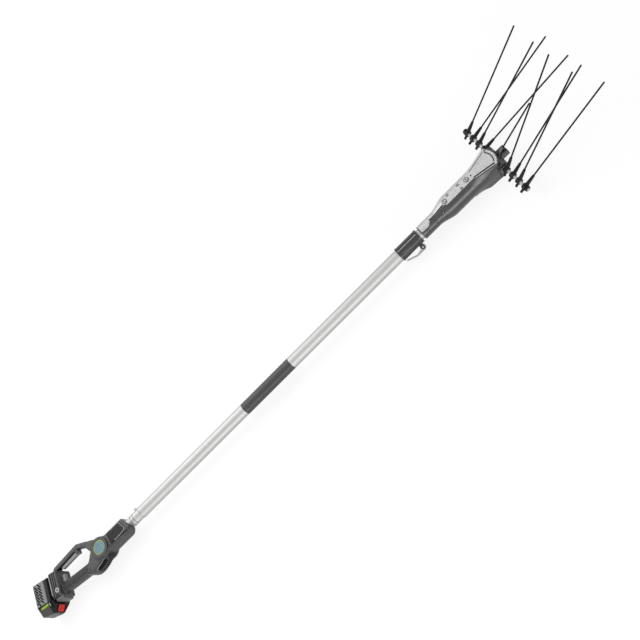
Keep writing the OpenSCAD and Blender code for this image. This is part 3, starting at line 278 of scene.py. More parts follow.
looks = {
    "tube_aluminium": turned_metal("drawn_aluminium", (0.47, 0.47, 0.465), 0.58),
    "cover_aluminium": cast_metal("cast_aluminium", (0.57, 0.57, 0.57), 0.5, metal=0.7),
    "lever_aluminium": turned_metal("satin_aluminium", (0.36, 0.36, 0.37), 0.34),
    "steel": turned_metal("machined_steel", (0.55, 0.55, 0.56), 0.3),
    "grey_plastic": moulded("grey_plastic", (0.066, 0.065, 0.068), 0.38, Specular_IOR_Level=0.4),
    "head_plastic": moulded("head_plastic", (0.014, 0.0137, 0.014), 0.27, Specular_IOR_Level=0.95),
    "black_plastic": moulded("black_plastic", (0.008, 0.008, 0.009), 0.38, Specular_IOR_Level=0.22),
    "light_plastic": moulded("light_plastic", (0.36, 0.36, 0.36), 0.45),
    "battery_plastic": moulded("battery_plastic", (0.055, 0.054, 0.056), 0.42),
    "red_plastic": moulded("red_plastic", (0.85, 0.05, 0.045), 0.4, Specular_IOR_Level=0.3),
    "black_rubber": moulded("black_rubber", (0.012, 0.012, 0.012), 0.6, grain=0.5, depth=0.08, Specular_IOR_Level=0.3),
    "badge_film": moulded("badge_film", (0.085, 0.225, 0.29), 0.22, grain=3.0, depth=0.01),
    "carbon_rod": moulded("carbon_rod", (0.004, 0.004, 0.0045), 0.4, grain=0.4, depth=0.03, Specular_IOR_Level=0.2),
    "circuit": moulded("circuit", (0.01, 0.09, 0.035), 0.3),
    "copper": turned_metal("copper", (0.75, 0.45, 0.2), 0.3),
    "cell_wrap": moulded("cell_wrap", (0.05, 0.16, 0.4), 0.25),
    # Looks of single pieces, beside the record's slots
    "bezel_plastic": moulded("bezel_plastic", (0.02, 0.017, 0.019), 0.4),
    "lime_plastic": moulded("lime_plastic", (0.36, 0.56, 0.02), 0.4),
    # Light plastic, for real light parts and for painted highlights along edges and lines
    "trim_and_highlight_plastic": moulded("trim_and_highlight_plastic", (0.62, 0.62, 0.6), 0.4),
    # Light grey, for the battery's real vent panel and for painted highlight lines
    "panel_and_highlight_plastic": moulded("panel_and_highlight_plastic", (0.24, 0.24, 0.24), 0.42),
    "collar_plastic": moulded("collar_plastic", (0.026, 0.026, 0.027), 0.28, Specular_IOR_Level=0.6),
    # Near black, for real black parts and for painted shade in gaps, grooves and along edges
    "shade_black": moulded("shade_black", (0.005, 0.005, 0.005), 0.7, Specular_IOR_Level=0.12),
    "lip_plastic": moulded("lip_plastic", (0.12, 0.12, 0.12), 0.42),
    # Dark film, for real bands and rings and for painted shade at the tube's end
    "band_and_shade_film": moulded("band_and_shade_film", (0.05, 0.05, 0.052), 0.4, grain=1.2, depth=0.01),
    "grip_rubber": moulded("grip_rubber", (0.04, 0.04, 0.041), 0.6, grain=0.6, depth=0.12, Specular_IOR_Level=0.35),
}


# Distance fields

def round_box(a, b, edge):
    """Distance from the two distances past a corner's faces, with the corner rounded."""
    a, b = a + edge, b + edge
    return np.hypot(np.maximum(a, 0), np.maximum(b, 0)) + np.minimum(np.maximum(a, b), 0) - edge


def from_line(x, y, p, q):
    """Distance in plan from the line between two points."""
    d = np.array(q, float) - p
    k = np.clip(((x - p[0]) * d[0] + (y - p[1]) * d[1]) / (d @ d), 0, 1)
    return np.hypot(x - p[0] - k * d[0], y - p[1] - k * d[1])


def bar(p, q, wide, thick, edge):
    """A bar lying flat from p to q, with round edges."""
    p, q = np.array(p, float), np.array(q, float)
    length = np.linalg.norm(q - p)
    ux, uy = (q - p) / length

    def field(x, y, z):
        u = (x - p[0]) * ux + (y - p[1]) * uy
        v = (y - p[1]) * ux - (x - p[0]) * uy
        section = round_box(np.abs(v) - wide / 2, np.abs(z) - thick / 2, edge)
        return np.maximum(section, np.abs(u - length / 2) - length / 2)
    return field


def disc(p, wide, thick, edge):
    """A disc lying flat, with a round rim."""
    def field(x, y, z):
        return round_box(np.hypot(x - p[0], y - p[1]) - wide / 2, np.abs(z) - thick / 2, edge)
    return field


def path_bar(points, wide, thick, edge):
    """A flat bar that follows a line of points."""
    def field(x, y, z):
        far = np.minimum.reduce([from_line(x, y, p, q) for p, q in zip(points[:-1], points[1:])])
        return round_box(far - wide / 2, np.abs(z) - thick / 2, edge)
    return field


def box_field(x, y, z, lo, hi):
    return np.maximum.reduce([lo[0] - x, x - hi[0], lo[1] - y, y - hi[1], lo[2] - z, z - hi[2]])


def outline(x, y, points, corner):
    """Distance in plan past a convex outline, whose points run clockwise."""
    d = None
    for p, q in zip(points, points[1:] + points[:1]):
        dx, dy = q[0] - p[0], q[1] - p[1]
        side = ((y - p[1]) * dx - (x - p[0]) * dy) / math.hypot(dx, dy)
        d = side if d is None else meet(d, side, corner)
    return d


def blend(a, b, width):
    """The union of two fields with a fillet about width wide."""
    h = np.clip(0.5 + 0.5 * (b - a) / width, 0, 1)
    return b + (a - b) * h - width * h * (1 - h)


def meet(a, b, width):
    """The common part of two fields, with the edge rounded."""
    return -blend(-a, -b, width)


def carve(a, b, width):
    """Field a without field b, with the rim rounded."""
    return -blend(-a, b, width)


# Meshes. The wear of each is the body it rides on, its look and its material slot, which is not used

def piece(name, wear, verts, faces):
    """A smooth mesh object in the row frame, with a material, that rides on a body."""
    body, look, slot = wear
    mesh = bpy.data.meshes.new(name)
    mesh.from_pydata(np.asarray(verts, np.float32).tolist(), [], faces)
    mesh.validate()
    mesh.polygons.foreach_set("use_smooth", [True] * len(mesh.polygons))
    mesh.update()
    obj = bpy.data.objects.new(name, mesh)
    scene.collection.objects.link(obj)
    mesh.materials.append(looks[look].mat)
    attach(obj, body)
    return obj


# Grid steps of the skins: large forms, inlays, the dock's lip and the battery's panel
STEP = 1.5
FINE = 0.8
LIP_STEP = STEP * 0.8
PANEL_STEP = 0.6
# Moves of a skin's points onto its field, the step of a slope as a share of the grid's, and the least slope squared
SNAPS = 2
SLOPE_SHARE = 0.1
LEAST_SLOPE = 0.2


def skin(name, wear, field, lo, hi, step=FINE):
    """A closed mesh on the zero surface of a field, sampled on a grid."""
    axes = [np.arange(a, b + step, step) for a, b in zip(lo, hi)]
    grid = field(*np.meshgrid(*axes, indexing="ij"))
    for axis in range(3):
        ends = np.moveaxis(grid, axis, 0)
        for end in (0, -1):
            ends[end] = np.maximum(ends[end], step / 2)
    cells = np.array(grid.shape) - 1
    total, count, quads = np.zeros((cells.prod(), 3)), np.zeros(cells.prod()), []
    for axis in range(3):
        u, v = (axis + 1) % 3, (axis + 2) % 3
        a = np.moveaxis(np.moveaxis(grid, axis, 0)[:-1], 0, axis)
        b = np.moveaxis(np.moveaxis(grid, axis, 0)[1:], 0, axis)
        at = np.argwhere((a < 0) != (b < 0))
        fa, fb = a[tuple(at.T)], b[tuple(at.T)]
        point = at.astype(float)
        point[:, axis] += fa / (fa - fb)
        ring = []
        for du, dv in ((0, 0), (1, 0), (1, 1), (0, 1)):
            cell = at.copy()
            cell[:, u] -= du
            cell[:, v] -= dv
            flat = np.ravel_multi_index(cell.T, cells)
            for k in range(3):
                total[:, k] += np.bincount(flat, point[:, k], len(total))
            count += np.bincount(flat, minlength=len(count))
            ring.append(flat)
        ring = np.stack(ring, 1)
        out = fa < 0
        quads.append(np.concatenate([ring[out], ring[~out][:, ::-1]]))
    used = np.flatnonzero(count)
    index = np.zeros(len(count), int)
    index[used] = np.arange(len(used))
    verts = total[used] / count[used, None] * step + np.array([a[0] for a in axes])
    eps = step * SLOPE_SHARE
    for _ in range(SNAPS):
        here = field(*verts.T)
        slope = np.stack([field(*(verts + eps * way).T) - here for way in np.eye(3)], 1) / eps
        move = here[:, None] * slope / np.maximum((slope ** 2).sum(1), LEAST_SLOPE)[:, None]
        verts -= np.clip(move, -step / 2, step / 2)
    return piece(name, wear, row(verts), index[np.concatenate(quads)].tolist())


INLAY_EDGE, INLAY_RIM = 0.4, 0.6


def inlay(name, wear, form, zone, lo, hi, proud, deep):
    """A patch set into a form's surface, proud of it, or sunk where proud is negative."""
    def field(x, y, z):
        d = form(x, y, z)
        return meet(meet(d - proud, -d - deep, INLAY_EDGE), zone(x, y, z), INLAY_RIM)
    return skin(name, wear, field, lo, hi)


WELD = 0.002
BEVEL_SEGMENTS = 2
SHARP = math.radians(30)


def soften(obj, edge):
    """Rounds a mesh's sharp edges and evens its shading."""
    weld = obj.modifiers.new("weld", "WELD")
    weld.merge_threshold = WELD * MM
    bevel = obj.modifiers.new("edge", "BEVEL")
    bevel.width = edge * MM
    bevel.segments = BEVEL_SEGMENTS
    bevel.limit_method = "ANGLE"
    bevel.angle_limit = SHARP
    bevel.use_clamp_overlap = True
    normal = obj.modifiers.new("normals", "WEIGHTED_NORMAL")
    normal.keep_sharp = True


def face_out(obj):
    """Turns all faces of a closed mesh outwards."""
    bm = bmesh.new()
    bm.from_mesh(obj.data)
    bmesh.ops.recalc_face_normals(bm, faces=bm.faces)
    bm.to_mesh(obj.data)
    bm.free()


def slab(name, wear, outlines, low, high, at, edge):
    """Flat plates between two heights of a frame, with rounded edges."""
    verts, faces = [], []
    for line in outlines:
        n, k = len(line), len(verts)
        verts += [at(u, v, w) for w in (low, high) for u, v in line]
        faces.append(list(range(k + n - 1, k - 1, -1)))
        faces.append(list(range(k + n, k + 2 * n)))
        faces += [[k + i, k + (i + 1) % n, k + n + (i + 1) % n, k + n + i] for i in range(n)]
    soften(piece(name, wear, row(verts), faces), edge)


def level(u, v, w):
    """The frame of the hub itself."""
    return (u, v, w)


def plane(origin, across, up):
    """A frame on a plane: places across it, up it and out of it."""
    across, up = unit(across), unit(up)
    out = np.cross(across, up)
    return lambda u, v, w: tuple(np.array(origin, float) + u * across + v * up + w * out)


ROUND_STEPS = 8


def rounded(p, q, radius):
    """Outline of a slot, round at both ends, anticlockwise."""
    turn = math.atan2(q[1] - p[1], q[0] - p[0])
    line = []
    for centre, start in ((q, turn - math.pi / 2), (p, turn + math.pi / 2)):
        for i in range(ROUND_STEPS + 1):
            a = start + math.pi * i / ROUND_STEPS
            line.append((centre[0] + radius * math.cos(a), centre[1] + radius * math.sin(a)))
    return line


def box_line(u0, v0, u1, v1):
    return [(u0, v0), (u1, v0), (u1, v1), (u0, v1)]


# From this share of an axis on, a way counts as along it
STEEP = 0.9
LATHE_EDGE = 0.2


def lathe(name, wear, profiles, place, axis, sides=72):
    """Turned rings: closed profiles of places along an axis and radii about it."""
    axis = unit(axis)
    u = unit(np.cross(axis, (0, 1, 0) if abs(axis[0]) > STEEP else ALONG))
    v = np.cross(axis, u)
    verts, faces = [], []
    for profile in profiles:
        n, k = len(profile), len(verts)
        for i in range(sides):
            a = 2 * math.pi * i / sides
            away = math.cos(a) * u + math.sin(a) * v
            verts += [np.array(place) + x * axis + r * away for x, r in profile]
        faces += [[k + i * n + j, k + i * n + (j + 1) % n, k + (i + 1) % sides * n + (j + 1) % n,
                   k + (i + 1) % sides * n + j] for i in range(sides) for j in range(n)]
    obj = piece(name, wear, row(verts), faces)
    face_out(obj)
    soften(obj, LATHE_EDGE)


def hoop(start, end, inner, outer):
    """A flat ring's profile."""
    return [(start, inner), (start, outer), (end, outer), (end, inner)]


BEAD_SIDES = 10
# Rings that round off a bead's end, as shares of its radius
BEAD_ENDS = (0.97, 0.7)


def bead(name, wear, lines, radius):
    """Round beads along lines of points, with round ends."""
    verts, faces = [], []
    turns = [2 * math.pi * i / BEAD_SIDES for i in range(BEAD_SIDES)]
    for points in lines:
        points = np.array(points, float)
        way = np.gradient(points, axis=0)
        way /= np.linalg.norm(way, axis=1)[:, None]
        ends = [(k * radius, radius * math.sqrt(1 - k * k)) for k in BEAD_ENDS]
        rings = [(points[0] - way[0] * far, way[0], r) for far, r in ends]
        rings += [(p, w, radius) for p, w in zip(points, way)]
        rings += [(points[-1] + way[-1] * far, way[-1], r) for far, r in ends[::-1]]
        start = len(verts)
        for p, w, r in rings:
            side = unit(np.cross(w, UP if abs(w[2]) < STEEP else ALONG))
            top = np.cross(side, w)
            verts += [p + r * (math.cos(a) * side + math.sin(a) * top) for a in turns]
        for i in range(len(rings) - 1):
            a, b = start + i * BEAD_SIDES, start + (i + 1) * BEAD_SIDES
            faces += [[a + j, a + (j + 1) % BEAD_SIDES, b + (j + 1) % BEAD_SIDES, b + j] for j in range(BEAD_SIDES)]
        faces.append(list(range(start, start + BEAD_SIDES)))
        faces.append(list(range(len(verts) - BEAD_SIDES, len(verts))))
    face_out(piece(name, wear, row(verts), faces))


# Handle, in the CAD's own sizes

SHELL = ("handle", "grey_plastic", "grey_plastic")
SHADE = ("handle", "shade_black", "black_plastic")
# Lighter grey for painted highlight lines on the handle
GREY_HIGHLIGHT = ("handle", "panel_and_highlight_plastic", "grey_plastic")
# Light plastic for the strap eyelet, and for painted highlights
TRIM_AND_HIGHLIGHT = ("handle", "trim_and_highlight_plastic", "light_plastic")

TILT = math.radians(12)
DOCK = np.array([-233.0, 21.0])
# The dock's block in its own frame: middle, half sizes, round corners and edges
DOCK_MID, DOCK_HALF = (19.5, 2.5), (19.5, 44.5, 35)
DOCK_CORNER, DOCK_EDGE = 4, 7


def to_dock(x, y):
    """A place in the dock's frame: x out of the face that the battery slides along."""
    dx, dy = x - DOCK[0], y - DOCK[1]
    return dx * math.cos(TILT) - dy * math.sin(TILT), dx * math.sin(TILT) + dy * math.cos(TILT)


def from_dock(x, y):
    return (DOCK[0] + x * math.cos(TILT) + y * math.sin(TILT), DOCK[1] - x * math.sin(TILT) + y * math.cos(TILT))


def in_dock(u, v, w):
    return (*from_dock(u, v), w)


GUARD = [(-60, 63), (-92, 80), (-203, 74), from_dock(19.5, 23.5)]
WEB = [(5, 5), (-36, -5), (-66, 56), (-74, 77), (-27, 57), (-6, 42)]
WEB_HALF, WEB_CORNER, WEB_EDGE = 12.5, 6, 4
NECK = [(0, -36), (-48, -55), (-76, -53), (-90, -27), (-75, -5), (-51, 24), (-20, 36)]
NECK_CORNER, NECK_EDGE = 16, 12
# The neck's half height at the hub, how much it thins, from where and over what length
NECK_HALF, NECK_THINS, NECK_FROM, NECK_OVER = 26, 4, 20, 60
GRIP = [(-70, -19), (-206, -1)]
SCREWS = [(-56, -24), (-14.6, -24.8), (-203, 74), (41.8, 21.6), (41.8, -21.6),
          from_dock(19.5, 33.8), from_dock(19.5, -32.9)]
hub_form = disc((0, 0), wide=73, thick=60, edge=8)
sleeve_form = bar((-10, 0), (183, 0), wide=60, thick=53, edge=15)
grip_form = bar(*GRIP, wide=38, thick=37, edge=15)
guard_form = path_bar(GUARD, wide=17, thick=25, edge=4)


def neck_form(x, y, z):
    """The neck thins from the hub towards the grip."""
    half = NECK_HALF - NECK_THINS * np.clip((-x - NECK_FROM) / NECK_OVER, 0, 1)
    return round_box(outline(x, y, NECK, NECK_CORNER), np.abs(z) - half, NECK_EDGE)


def web_form(x, y, z):
    return round_box(outline(x, y, WEB, WEB_CORNER), np.abs(z) - WEB_HALF, WEB_EDGE)


def dock_form(x, y, z):
    lx, ly = to_dock(x, y)
    side = round_box(np.abs(lx - DOCK_MID[0]) - DOCK_HALF[0], np.abs(ly - DOCK_MID[1]) - DOCK_HALF[1], DOCK_CORNER)
    return round_box(side, np.abs(z) - DOCK_HALF[2], DOCK_EDGE)


# Forms that join the hub one after the other, with their fillets
JOINED = ((sleeve_form, 4), (neck_form, 6), (grip_form, 14), (dock_form, 6))
WEB_FILLET, GUARD_FILLET = 5, 6


def handle_form(x, y, z):
    d = hub_form(x, y, z)
    for form, fillet in JOINED:
        d = blend(d, form(x, y, z), fillet)
    guard = blend(guard_form(x, y, z), web_form(x, y, z), WEB_FILLET)
    return blend(d, guard, GUARD_FILLET)


END_TURN = math.radians(22)
END_AT = 114
# How far a piece stays off a parting plane
PARTING = 0.15
# The slope under the sleeve's end: a place on it, its steepness, and the share that makes it a distance
SLOPE_AT, SLOPE_STEEP, SLOPE_SHORTEN = (134, 3), 1.15, 0.656
SLOPE_EDGE = 4


def past_end(x, y):
    """How far a place lies past the sleeve's slanted end."""
    return (x - END_AT) * math.cos(END_TURN) + y * math.sin(END_TURN)


def under_cut(x, z):
    """How far a place lies past the slope under the sleeve's end."""
    return (x - SLOPE_AT[0] - SLOPE_STEEP * (z - SLOPE_AT[1])) * SLOPE_SHORTEN


# The channel behind the squeeze lever: half height, how far in it starts, its middle and half length along the guard
CHANNEL_HALF, CHANNEL_IN, CHANNEL_MID, CHANNEL_REACH = 9.5, 4, 53, 50
CHANNEL_DEEP, CHANNEL_OVER, CHANNEL_RIM = 1.4, 2, 0.3
guard_way = unit(np.subtract(GUARD[2], GUARD[1]))


def channel_zone(x, y, z):
    dx, dy = x - GUARD[1][0], y - GUARD[1][1]
    u = dx * guard_way[0] + dy * guard_way[1]
    v = dx * guard_way[1] - dy * guard_way[0]
    return np.maximum.reduce([np.abs(z) - CHANNEL_HALF, v + CHANNEL_IN, np.abs(u - CHANNEL_MID) - CHANNEL_REACH])


# Openings in the shell: the strap eye, the rear button with its seat, and the screws from below
EYE_AT, EYE_HOLE = (28, -20), 5.7
BUTTON_HOLES = (((30, 4.2, -8.3), (60, 29.8, 8.3)), ((25.5, 2.2, -10.3), (36, 31.8, 10.3)))
HOLE_RIM = 0.6
SCREW_HOLE, SCREW_TOP, SCREW_RIM = 3.8, -9.9, 0.8


def from_eye(lx, ly):
    return np.hypot(lx - EYE_AT[0], ly - EYE_AT[1])


def shell_field(side):
    def field(x, y, z):
        d = np.maximum(handle_form(x, y, z), past_end(x, y))
        d = meet(d, under_cut(x, z), SLOPE_EDGE)
        guard = guard_form(x, y, z)
        channel = np.maximum.reduce([channel_zone(x, y, z), -guard - CHANNEL_DEEP, guard - CHANNEL_OVER])
        d = carve(d, channel, CHANNEL_RIM)
        lx, ly = to_dock(x, y)
        d = carve(d, from_eye(lx, ly) - EYE_HOLE, HOLE_RIM)
        for lo, hi in BUTTON_HOLES:
            d = carve(d, box_field(lx, ly, z, lo, hi), HOLE_RIM)
        for p in SCREWS:
            d = carve(d, np.maximum(np.hypot(x - p[0], y - p[1]) - SCREW_HOLE, z - SCREW_TOP), SCREW_RIM)
        return np.maximum(d, PARTING - side * z)
    return field


for side, half, low, high in ((1, "upper", -1.0, 37.0), (-1, "lower", -37.0, 1.0)):
    shell = skin("moulded_shell_" + half, SHELL, shell_field(side),
                 (-250, -66, low - STEP), (132, 100, high + STEP), STEP)
    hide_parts("handle_shell_" + half)

# Cap on the sleeve's slanted end, round the ferrule
CAP_T, CAP_EDGE, CAP_RIM, CAP_BORE = 8.4, 6, 5, 18.9


def cap_field(x, y, z):
    end = meet(past_end(x, y) - CAP_T, under_cut(x, z), CAP_EDGE)
    d = np.maximum(meet(sleeve_form(x, y, z), end, CAP_RIM), PARTING - past_end(x, y))
    return carve(d, np.hypot(y, z) - CAP_BORE, HOLE_RIM)


cap = skin("sleeve_cap", ("handle", "collar_plastic", "black_plastic"), cap_field, (98, -33, -30), (140, 33, 30))
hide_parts("sleeve_end_ring")

# Sleeve pad, a painted highlight along its rim and a painted shadow line beside it
PAD = [(41, 23), (101, 23), (116, -15), (98, -21), (41, -21)]
PAD_CORNER = 6
RIM_IN, RIM_HALF, RIM_START = 2.6, 0.7, 60
PAD_SHADOW, PAD_SHADOW_R = ((46, -17), (116, -23.5)), 1.1


def pad_zone(x, y, z):
    return np.maximum(outline(x, y, PAD, PAD_CORNER), -z)


def pad_highlight_zone(x, y, z):
    return np.maximum(np.abs(pad_zone(x, y, z) + RIM_IN) - RIM_HALF, RIM_START - x)


def pad_shadow_zone(x, y, z):
    return np.maximum(from_line(x, y, *PAD_SHADOW) - PAD_SHADOW_R, -z)


pad = inlay("ribbed_pad", ("handle", "black_rubber", "black_rubber"), handle_form, pad_zone,
            (36, -26, 5), (120, 27, 30), proud=0.5, deep=2)
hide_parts("sleeve_pad")
# A light strip painted where the pad's rim catches light
inlay("pad_highlight", TRIM_AND_HIGHLIGHT, handle_form, pad_highlight_zone, (55, -26, 5), (120, 27, 30), proud=1.3, deep=0.6)
# A black strip painted as the shadow in the groove beside the rim
inlay("pad_shadow", SHADE, handle_form, pad_shadow_zone, (40, -29, 5), (122, -10, 30), proud=0.7, deep=1.0)

# Grip pad along the grip's top and bottom, and a painted highlight line on the top
PAD_IN, PAD_R, PAD_OFF_MIDDLE = 22, 11, 4
GRIP_HIGHLIGHT, GRIP_HIGHLIGHT_R = ((-80, -3), (-168, 2.5)), 0.8
grip_way = unit(np.subtract(GRIP[1], GRIP[0]))


def grip_zone(x, y, z):
    p, q = np.array(GRIP[0]) + PAD_IN * grip_way, np.array(GRIP[1]) - PAD_IN * grip_way
    return np.maximum(from_line(x, y, p, q) - PAD_R, PAD_OFF_MIDDLE - np.abs(z))


def grip_highlight_zone(x, y, z):
    return np.maximum(from_line(x, y, *GRIP_HIGHLIGHT) - GRIP_HIGHLIGHT_R, -z)


soft = inlay("grip_cover", ("handle", "grip_rubber", "black_rubber"), handle_form, grip_zone,
             (-200, -35, -24), (-75, 20, 24), proud=0.7, deep=2)
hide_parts("grip_pad")
# A light line painted where the grip's upper edge catches light
inlay("grip_highlight", GREY_HIGHLIGHT, handle_form, grip_highlight_zone, (-175, -10, 4), (-72, 10, 22), proud=1.0, deep=1.0)

# The neck's vent with a painted highlight round its rim, and the ribs beside it
VENT_AT = (-14.0, -31.0)
VENT_MID, VENT_HALF, VENT_Z, VENT_R = 19, 14, 12, 8.5
VENT_HIGHLIGHT_OUT, VENT_HIGHLIGHT_HALF = 0.9, 0.8
# The ribs' spacing, half width, middle and half height, and their middle and half length along the vent
RIB_PITCH, RIB_HALF, RIB_Z, RIB_TALL, RIB_MID, RIB_REACH = 6.4, 1.5, -8, 13, 20, 24
# The ribs' pattern starts this far before the vent
RIB_START = 100
vent_way = unit((-30.0, -22.0))
NECK_LO, NECK_HI = (-80, -70, -26), (4, -18, 30)


def along_vent(x, y):
    return (x - VENT_AT[0]) * vent_way[0] + (y - VENT_AT[1]) * vent_way[1]


def vent_zone(x, y, z):
    past = np.maximum(np.abs(along_vent(x, y) - VENT_MID) - VENT_HALF, 0)
    return np.hypot(past, z - VENT_Z) - VENT_R


def vent_highlight_zone(x, y, z):
    return np.abs(vent_zone(x, y, z) - VENT_HIGHLIGHT_OUT) - VENT_HIGHLIGHT_HALF


def rib_zone(x, y, z):
    u = along_vent(x, y)
    rib = np.abs((u + RIB_START) % RIB_PITCH - RIB_PITCH / 2) - RIB_HALF
    return np.maximum.reduce([rib, np.abs(z - RIB_Z) - RIB_TALL, np.abs(u - RIB_MID) - RIB_REACH])


inlay("neck_vent", SHADE, handle_form, vent_zone, NECK_LO, NECK_HI, proud=0.6, deep=3)
# A light ring painted where the vent's rim catches light
inlay("neck_vent_highlight", GREY_HIGHLIGHT, handle_form, vent_highlight_zone, NECK_LO, NECK_HI, proud=1.0, deep=2)
inlay("neck_ribs", ("handle", "black_plastic", "black_plastic"), handle_form, rib_zone, NECK_LO, NECK_HI,
      proud=1.6, deep=2)

# Black painted shade sunk into the channel behind the squeeze lever
inlay("guard_channel_shade", SHADE, guard_form, channel_zone, (-205, 58, -12), (-85, 84, 12), proud=-1.1, deep=2.8)

# Dock: a painted highlight along its edge beside the battery, dark bands that stop short of the strap eye, and a lip
DOCK_HIGHLIGHT_MID, DOCK_HIGHLIGHT_HALF = (3.6, 4), (2.4, 34)
BANDS, BAND_HALF, EYE_CLEAR = (11.5, 19.5, 27.5), 1.5, 8.4
LIP_MID, LIP_HALF = (25, -46, 5), (17, 8, 24)
LIP_CORNER, LIP_EDGE = 3, 5
# The lip's slanted underside: where it starts along the lip, and how steep it is
LIP_SLANT_X, LIP_SLANT = 20, 0.3


def dock_highlight_zone(x, y, z):
    lx, ly = to_dock(x, y)
    return np.maximum.reduce([np.abs(lx - DOCK_HIGHLIGHT_MID[0]) - DOCK_HIGHLIGHT_HALF[0], np.abs(ly - DOCK_HIGHLIGHT_MID[1]) - DOCK_HIGHLIGHT_HALF[1], -z])


def band_zone(x, y, z):
    lx, ly = to_dock(x, y)
    bands = np.minimum.reduce([np.abs(lx - b) - BAND_HALF for b in BANDS])
    return np.maximum(bands, EYE_CLEAR - from_eye(lx, ly))


def lip_form(x, y, z):
    lx, ly = to_dock(x, y)
    side = round_box(np.abs(lx - LIP_MID[0]) - LIP_HALF[0], np.abs(ly - LIP_MID[1]) - LIP_HALF[1], LIP_CORNER)
    side = np.maximum(side, LIP_MID[1] - LIP_HALF[1] - ly + (LIP_SLANT_X - lx) * LIP_SLANT)
    return round_box(side, np.abs(z - LIP_MID[2]) - LIP_HALF[2], LIP_EDGE)


# A light strip painted where the dock's rounded edge beside the battery catches light
inlay("dock_highlight", TRIM_AND_HIGHLIGHT, dock_form, dock_highlight_zone, (-250, -30, 15), (-205, 75, 38), proud=1.0, deep=1.5)
inlay("dock_bands", SHADE, dock_form, band_zone, (-250, -30, -37), (-185, 75, 37), proud=0.6, deep=1.5)
skin("dock_lip", ("handle", "lip_plastic", "grey_plastic"), lip_form, (-235, -45, -31), (-185, -10, 31), LIP_STEP)

# Lugs that hold the squeeze lever's pin
PIN, LUG_TOP = (-99.74, 64.2), (-100.98, 80.0)
LUG_R, LUG_Z, LUG_HALF, LUG_EDGE = 6, 8.4, 2, 0.6
for side, place in ((1, "upper"), (-1, "lower")):
    mid = side * LUG_Z
    slab("lever_lug_" + place, SHELL, [rounded(PIN, LUG_TOP, LUG_R)], mid - LUG_HALF, mid + LUG_HALF, level, LUG_EDGE)

# Badge ring and strap eyelet
BADGE_RING = [(-0.6, 21.2), (0.5, 21.2), (0.9, 21.7), (0.9, 22.9), (0.5, 23.4), (-0.6, 23.4)]
EYELET = [(-1, 4.4), (1.2, 4.4), (1.8, 5.2), (1.8, 7), (1, 8), (-1, 8)]
badge_top = (badge_hi.z - HUB[2]) / MM
lathe("badge_ring", ("handle", "lime_plastic", "light_plastic"), [BADGE_RING], (0, 0, badge_top), UP)
lathe("strap_eyelet", TRIM_AND_HIGHLIGHT, [EYELET], in_dock(*EYE_AT, DOCK_HALF[2]), UP)


# Battery

BATTERY_SHADE = ("battery", "shade_black", "battery_plastic")
BATTERY_TOP = 40.0

# Panel with slanted slots, over a dark plate
PANEL_MID, PANEL_HALF = (-40.4, -2), (23.4, 38.5, 0.9)
PANEL_EDGE = 0.4
SLOT_TURN = math.radians(-52)
SLOT_R, SLOT_RIM = 2.35, 0.3
SLOT_PITCH = 10.8
SLOT_ROWS = 6
# Columns of slots: the first one's middle, and half the straight part's length
SLOT_COLUMNS = ((-61.0, 23.8, 0.8), (-52.5, 22.5, 8.2), (-38.0, 25.7, 8.2))


def panel_field(x, y, z):
    lx, ly = to_dock(x, y)
    side = np.maximum(np.abs(lx - PANEL_MID[0]) - PANEL_HALF[0], np.abs(ly - PANEL_MID[1]) - PANEL_HALF[1])
    d = round_box(side, np.abs(z - BATTERY_TOP) - PANEL_HALF[2], PANEL_EDGE)
    far = np.inf
    for u, v0, half in SLOT_COLUMNS:
        du, dv = half * math.cos(SLOT_TURN), half * math.sin(SLOT_TURN)
        for v in (v0 - SLOT_PITCH * i for i in range(SLOT_ROWS)):
            far = np.minimum(far, from_line(lx, ly, (u - du, v - dv), (u + du, v + dv)) - SLOT_R)
    return carve(d, far, SLOT_RIM)


skin("vent_panel", ("battery", "panel_and_highlight_plastic", "battery_plastic"), panel_field, (-310, -45, 38), (-235, 80, 42),
     PANEL_STEP)
slab("panel_back", BATTERY_SHADE, [box_line(-63.4, -39.8, -20, 35.6)], low=39.2, high=40.15, at=in_dock, edge=0.2)
# A black strip painted as the shadow along the lid's edge
slab("lid_shadow_line", BATTERY_SHADE, [box_line(-4.6, -40, -1.3, 36)], low=38.5, high=40.4, at=in_dock, edge=0.3)

# Strips on the bevelled face under the panel: across it to the dock, and up it to the panel's low edge
dock_x, dock_y = (np.subtract(in_dock(*way), in_dock(0, 0, 0)) for way in (ALONG, (0, 1, 0)))
BEVEL_AT, BEVEL_IN, BEVEL_RISE = (-35, -42), 36, 20
bevel_face = plane(in_dock(*BEVEL_AT, BATTERY_TOP), dock_x, BEVEL_IN * dock_y + (0, 0, BEVEL_RISE))
STRIP_SUNK = -0.5
# Each strip's outline, its height, its edge and its look
STRIPS = {
    "lime_strip": (rounded((-13, -8), (12, -6), 3.6), 0.5, 0.2, "lime_plastic"),
    "panel_edge": (box_line(-29, -3, 12, 0.6), 0.6, 0.3, "shade_black"),
    # The nose's black strip is painted shade for a recess, and its light strip a painted highlight streak
    "nose_shade_strip": (rounded((27, -22), (30, -2), 4), 0.35, 0.2, "shade_black"),
    "nose_highlight": (rounded((21, -13), (22, -4), 1.3), 0.5, 0.2, "trim_and_highlight_plastic"),
}
for name, (line, high, edge, look) in STRIPS.items():
    slab(name, ("battery", look, "battery_plastic"), [line], STRIP_SUNK, high, bevel_face, edge)

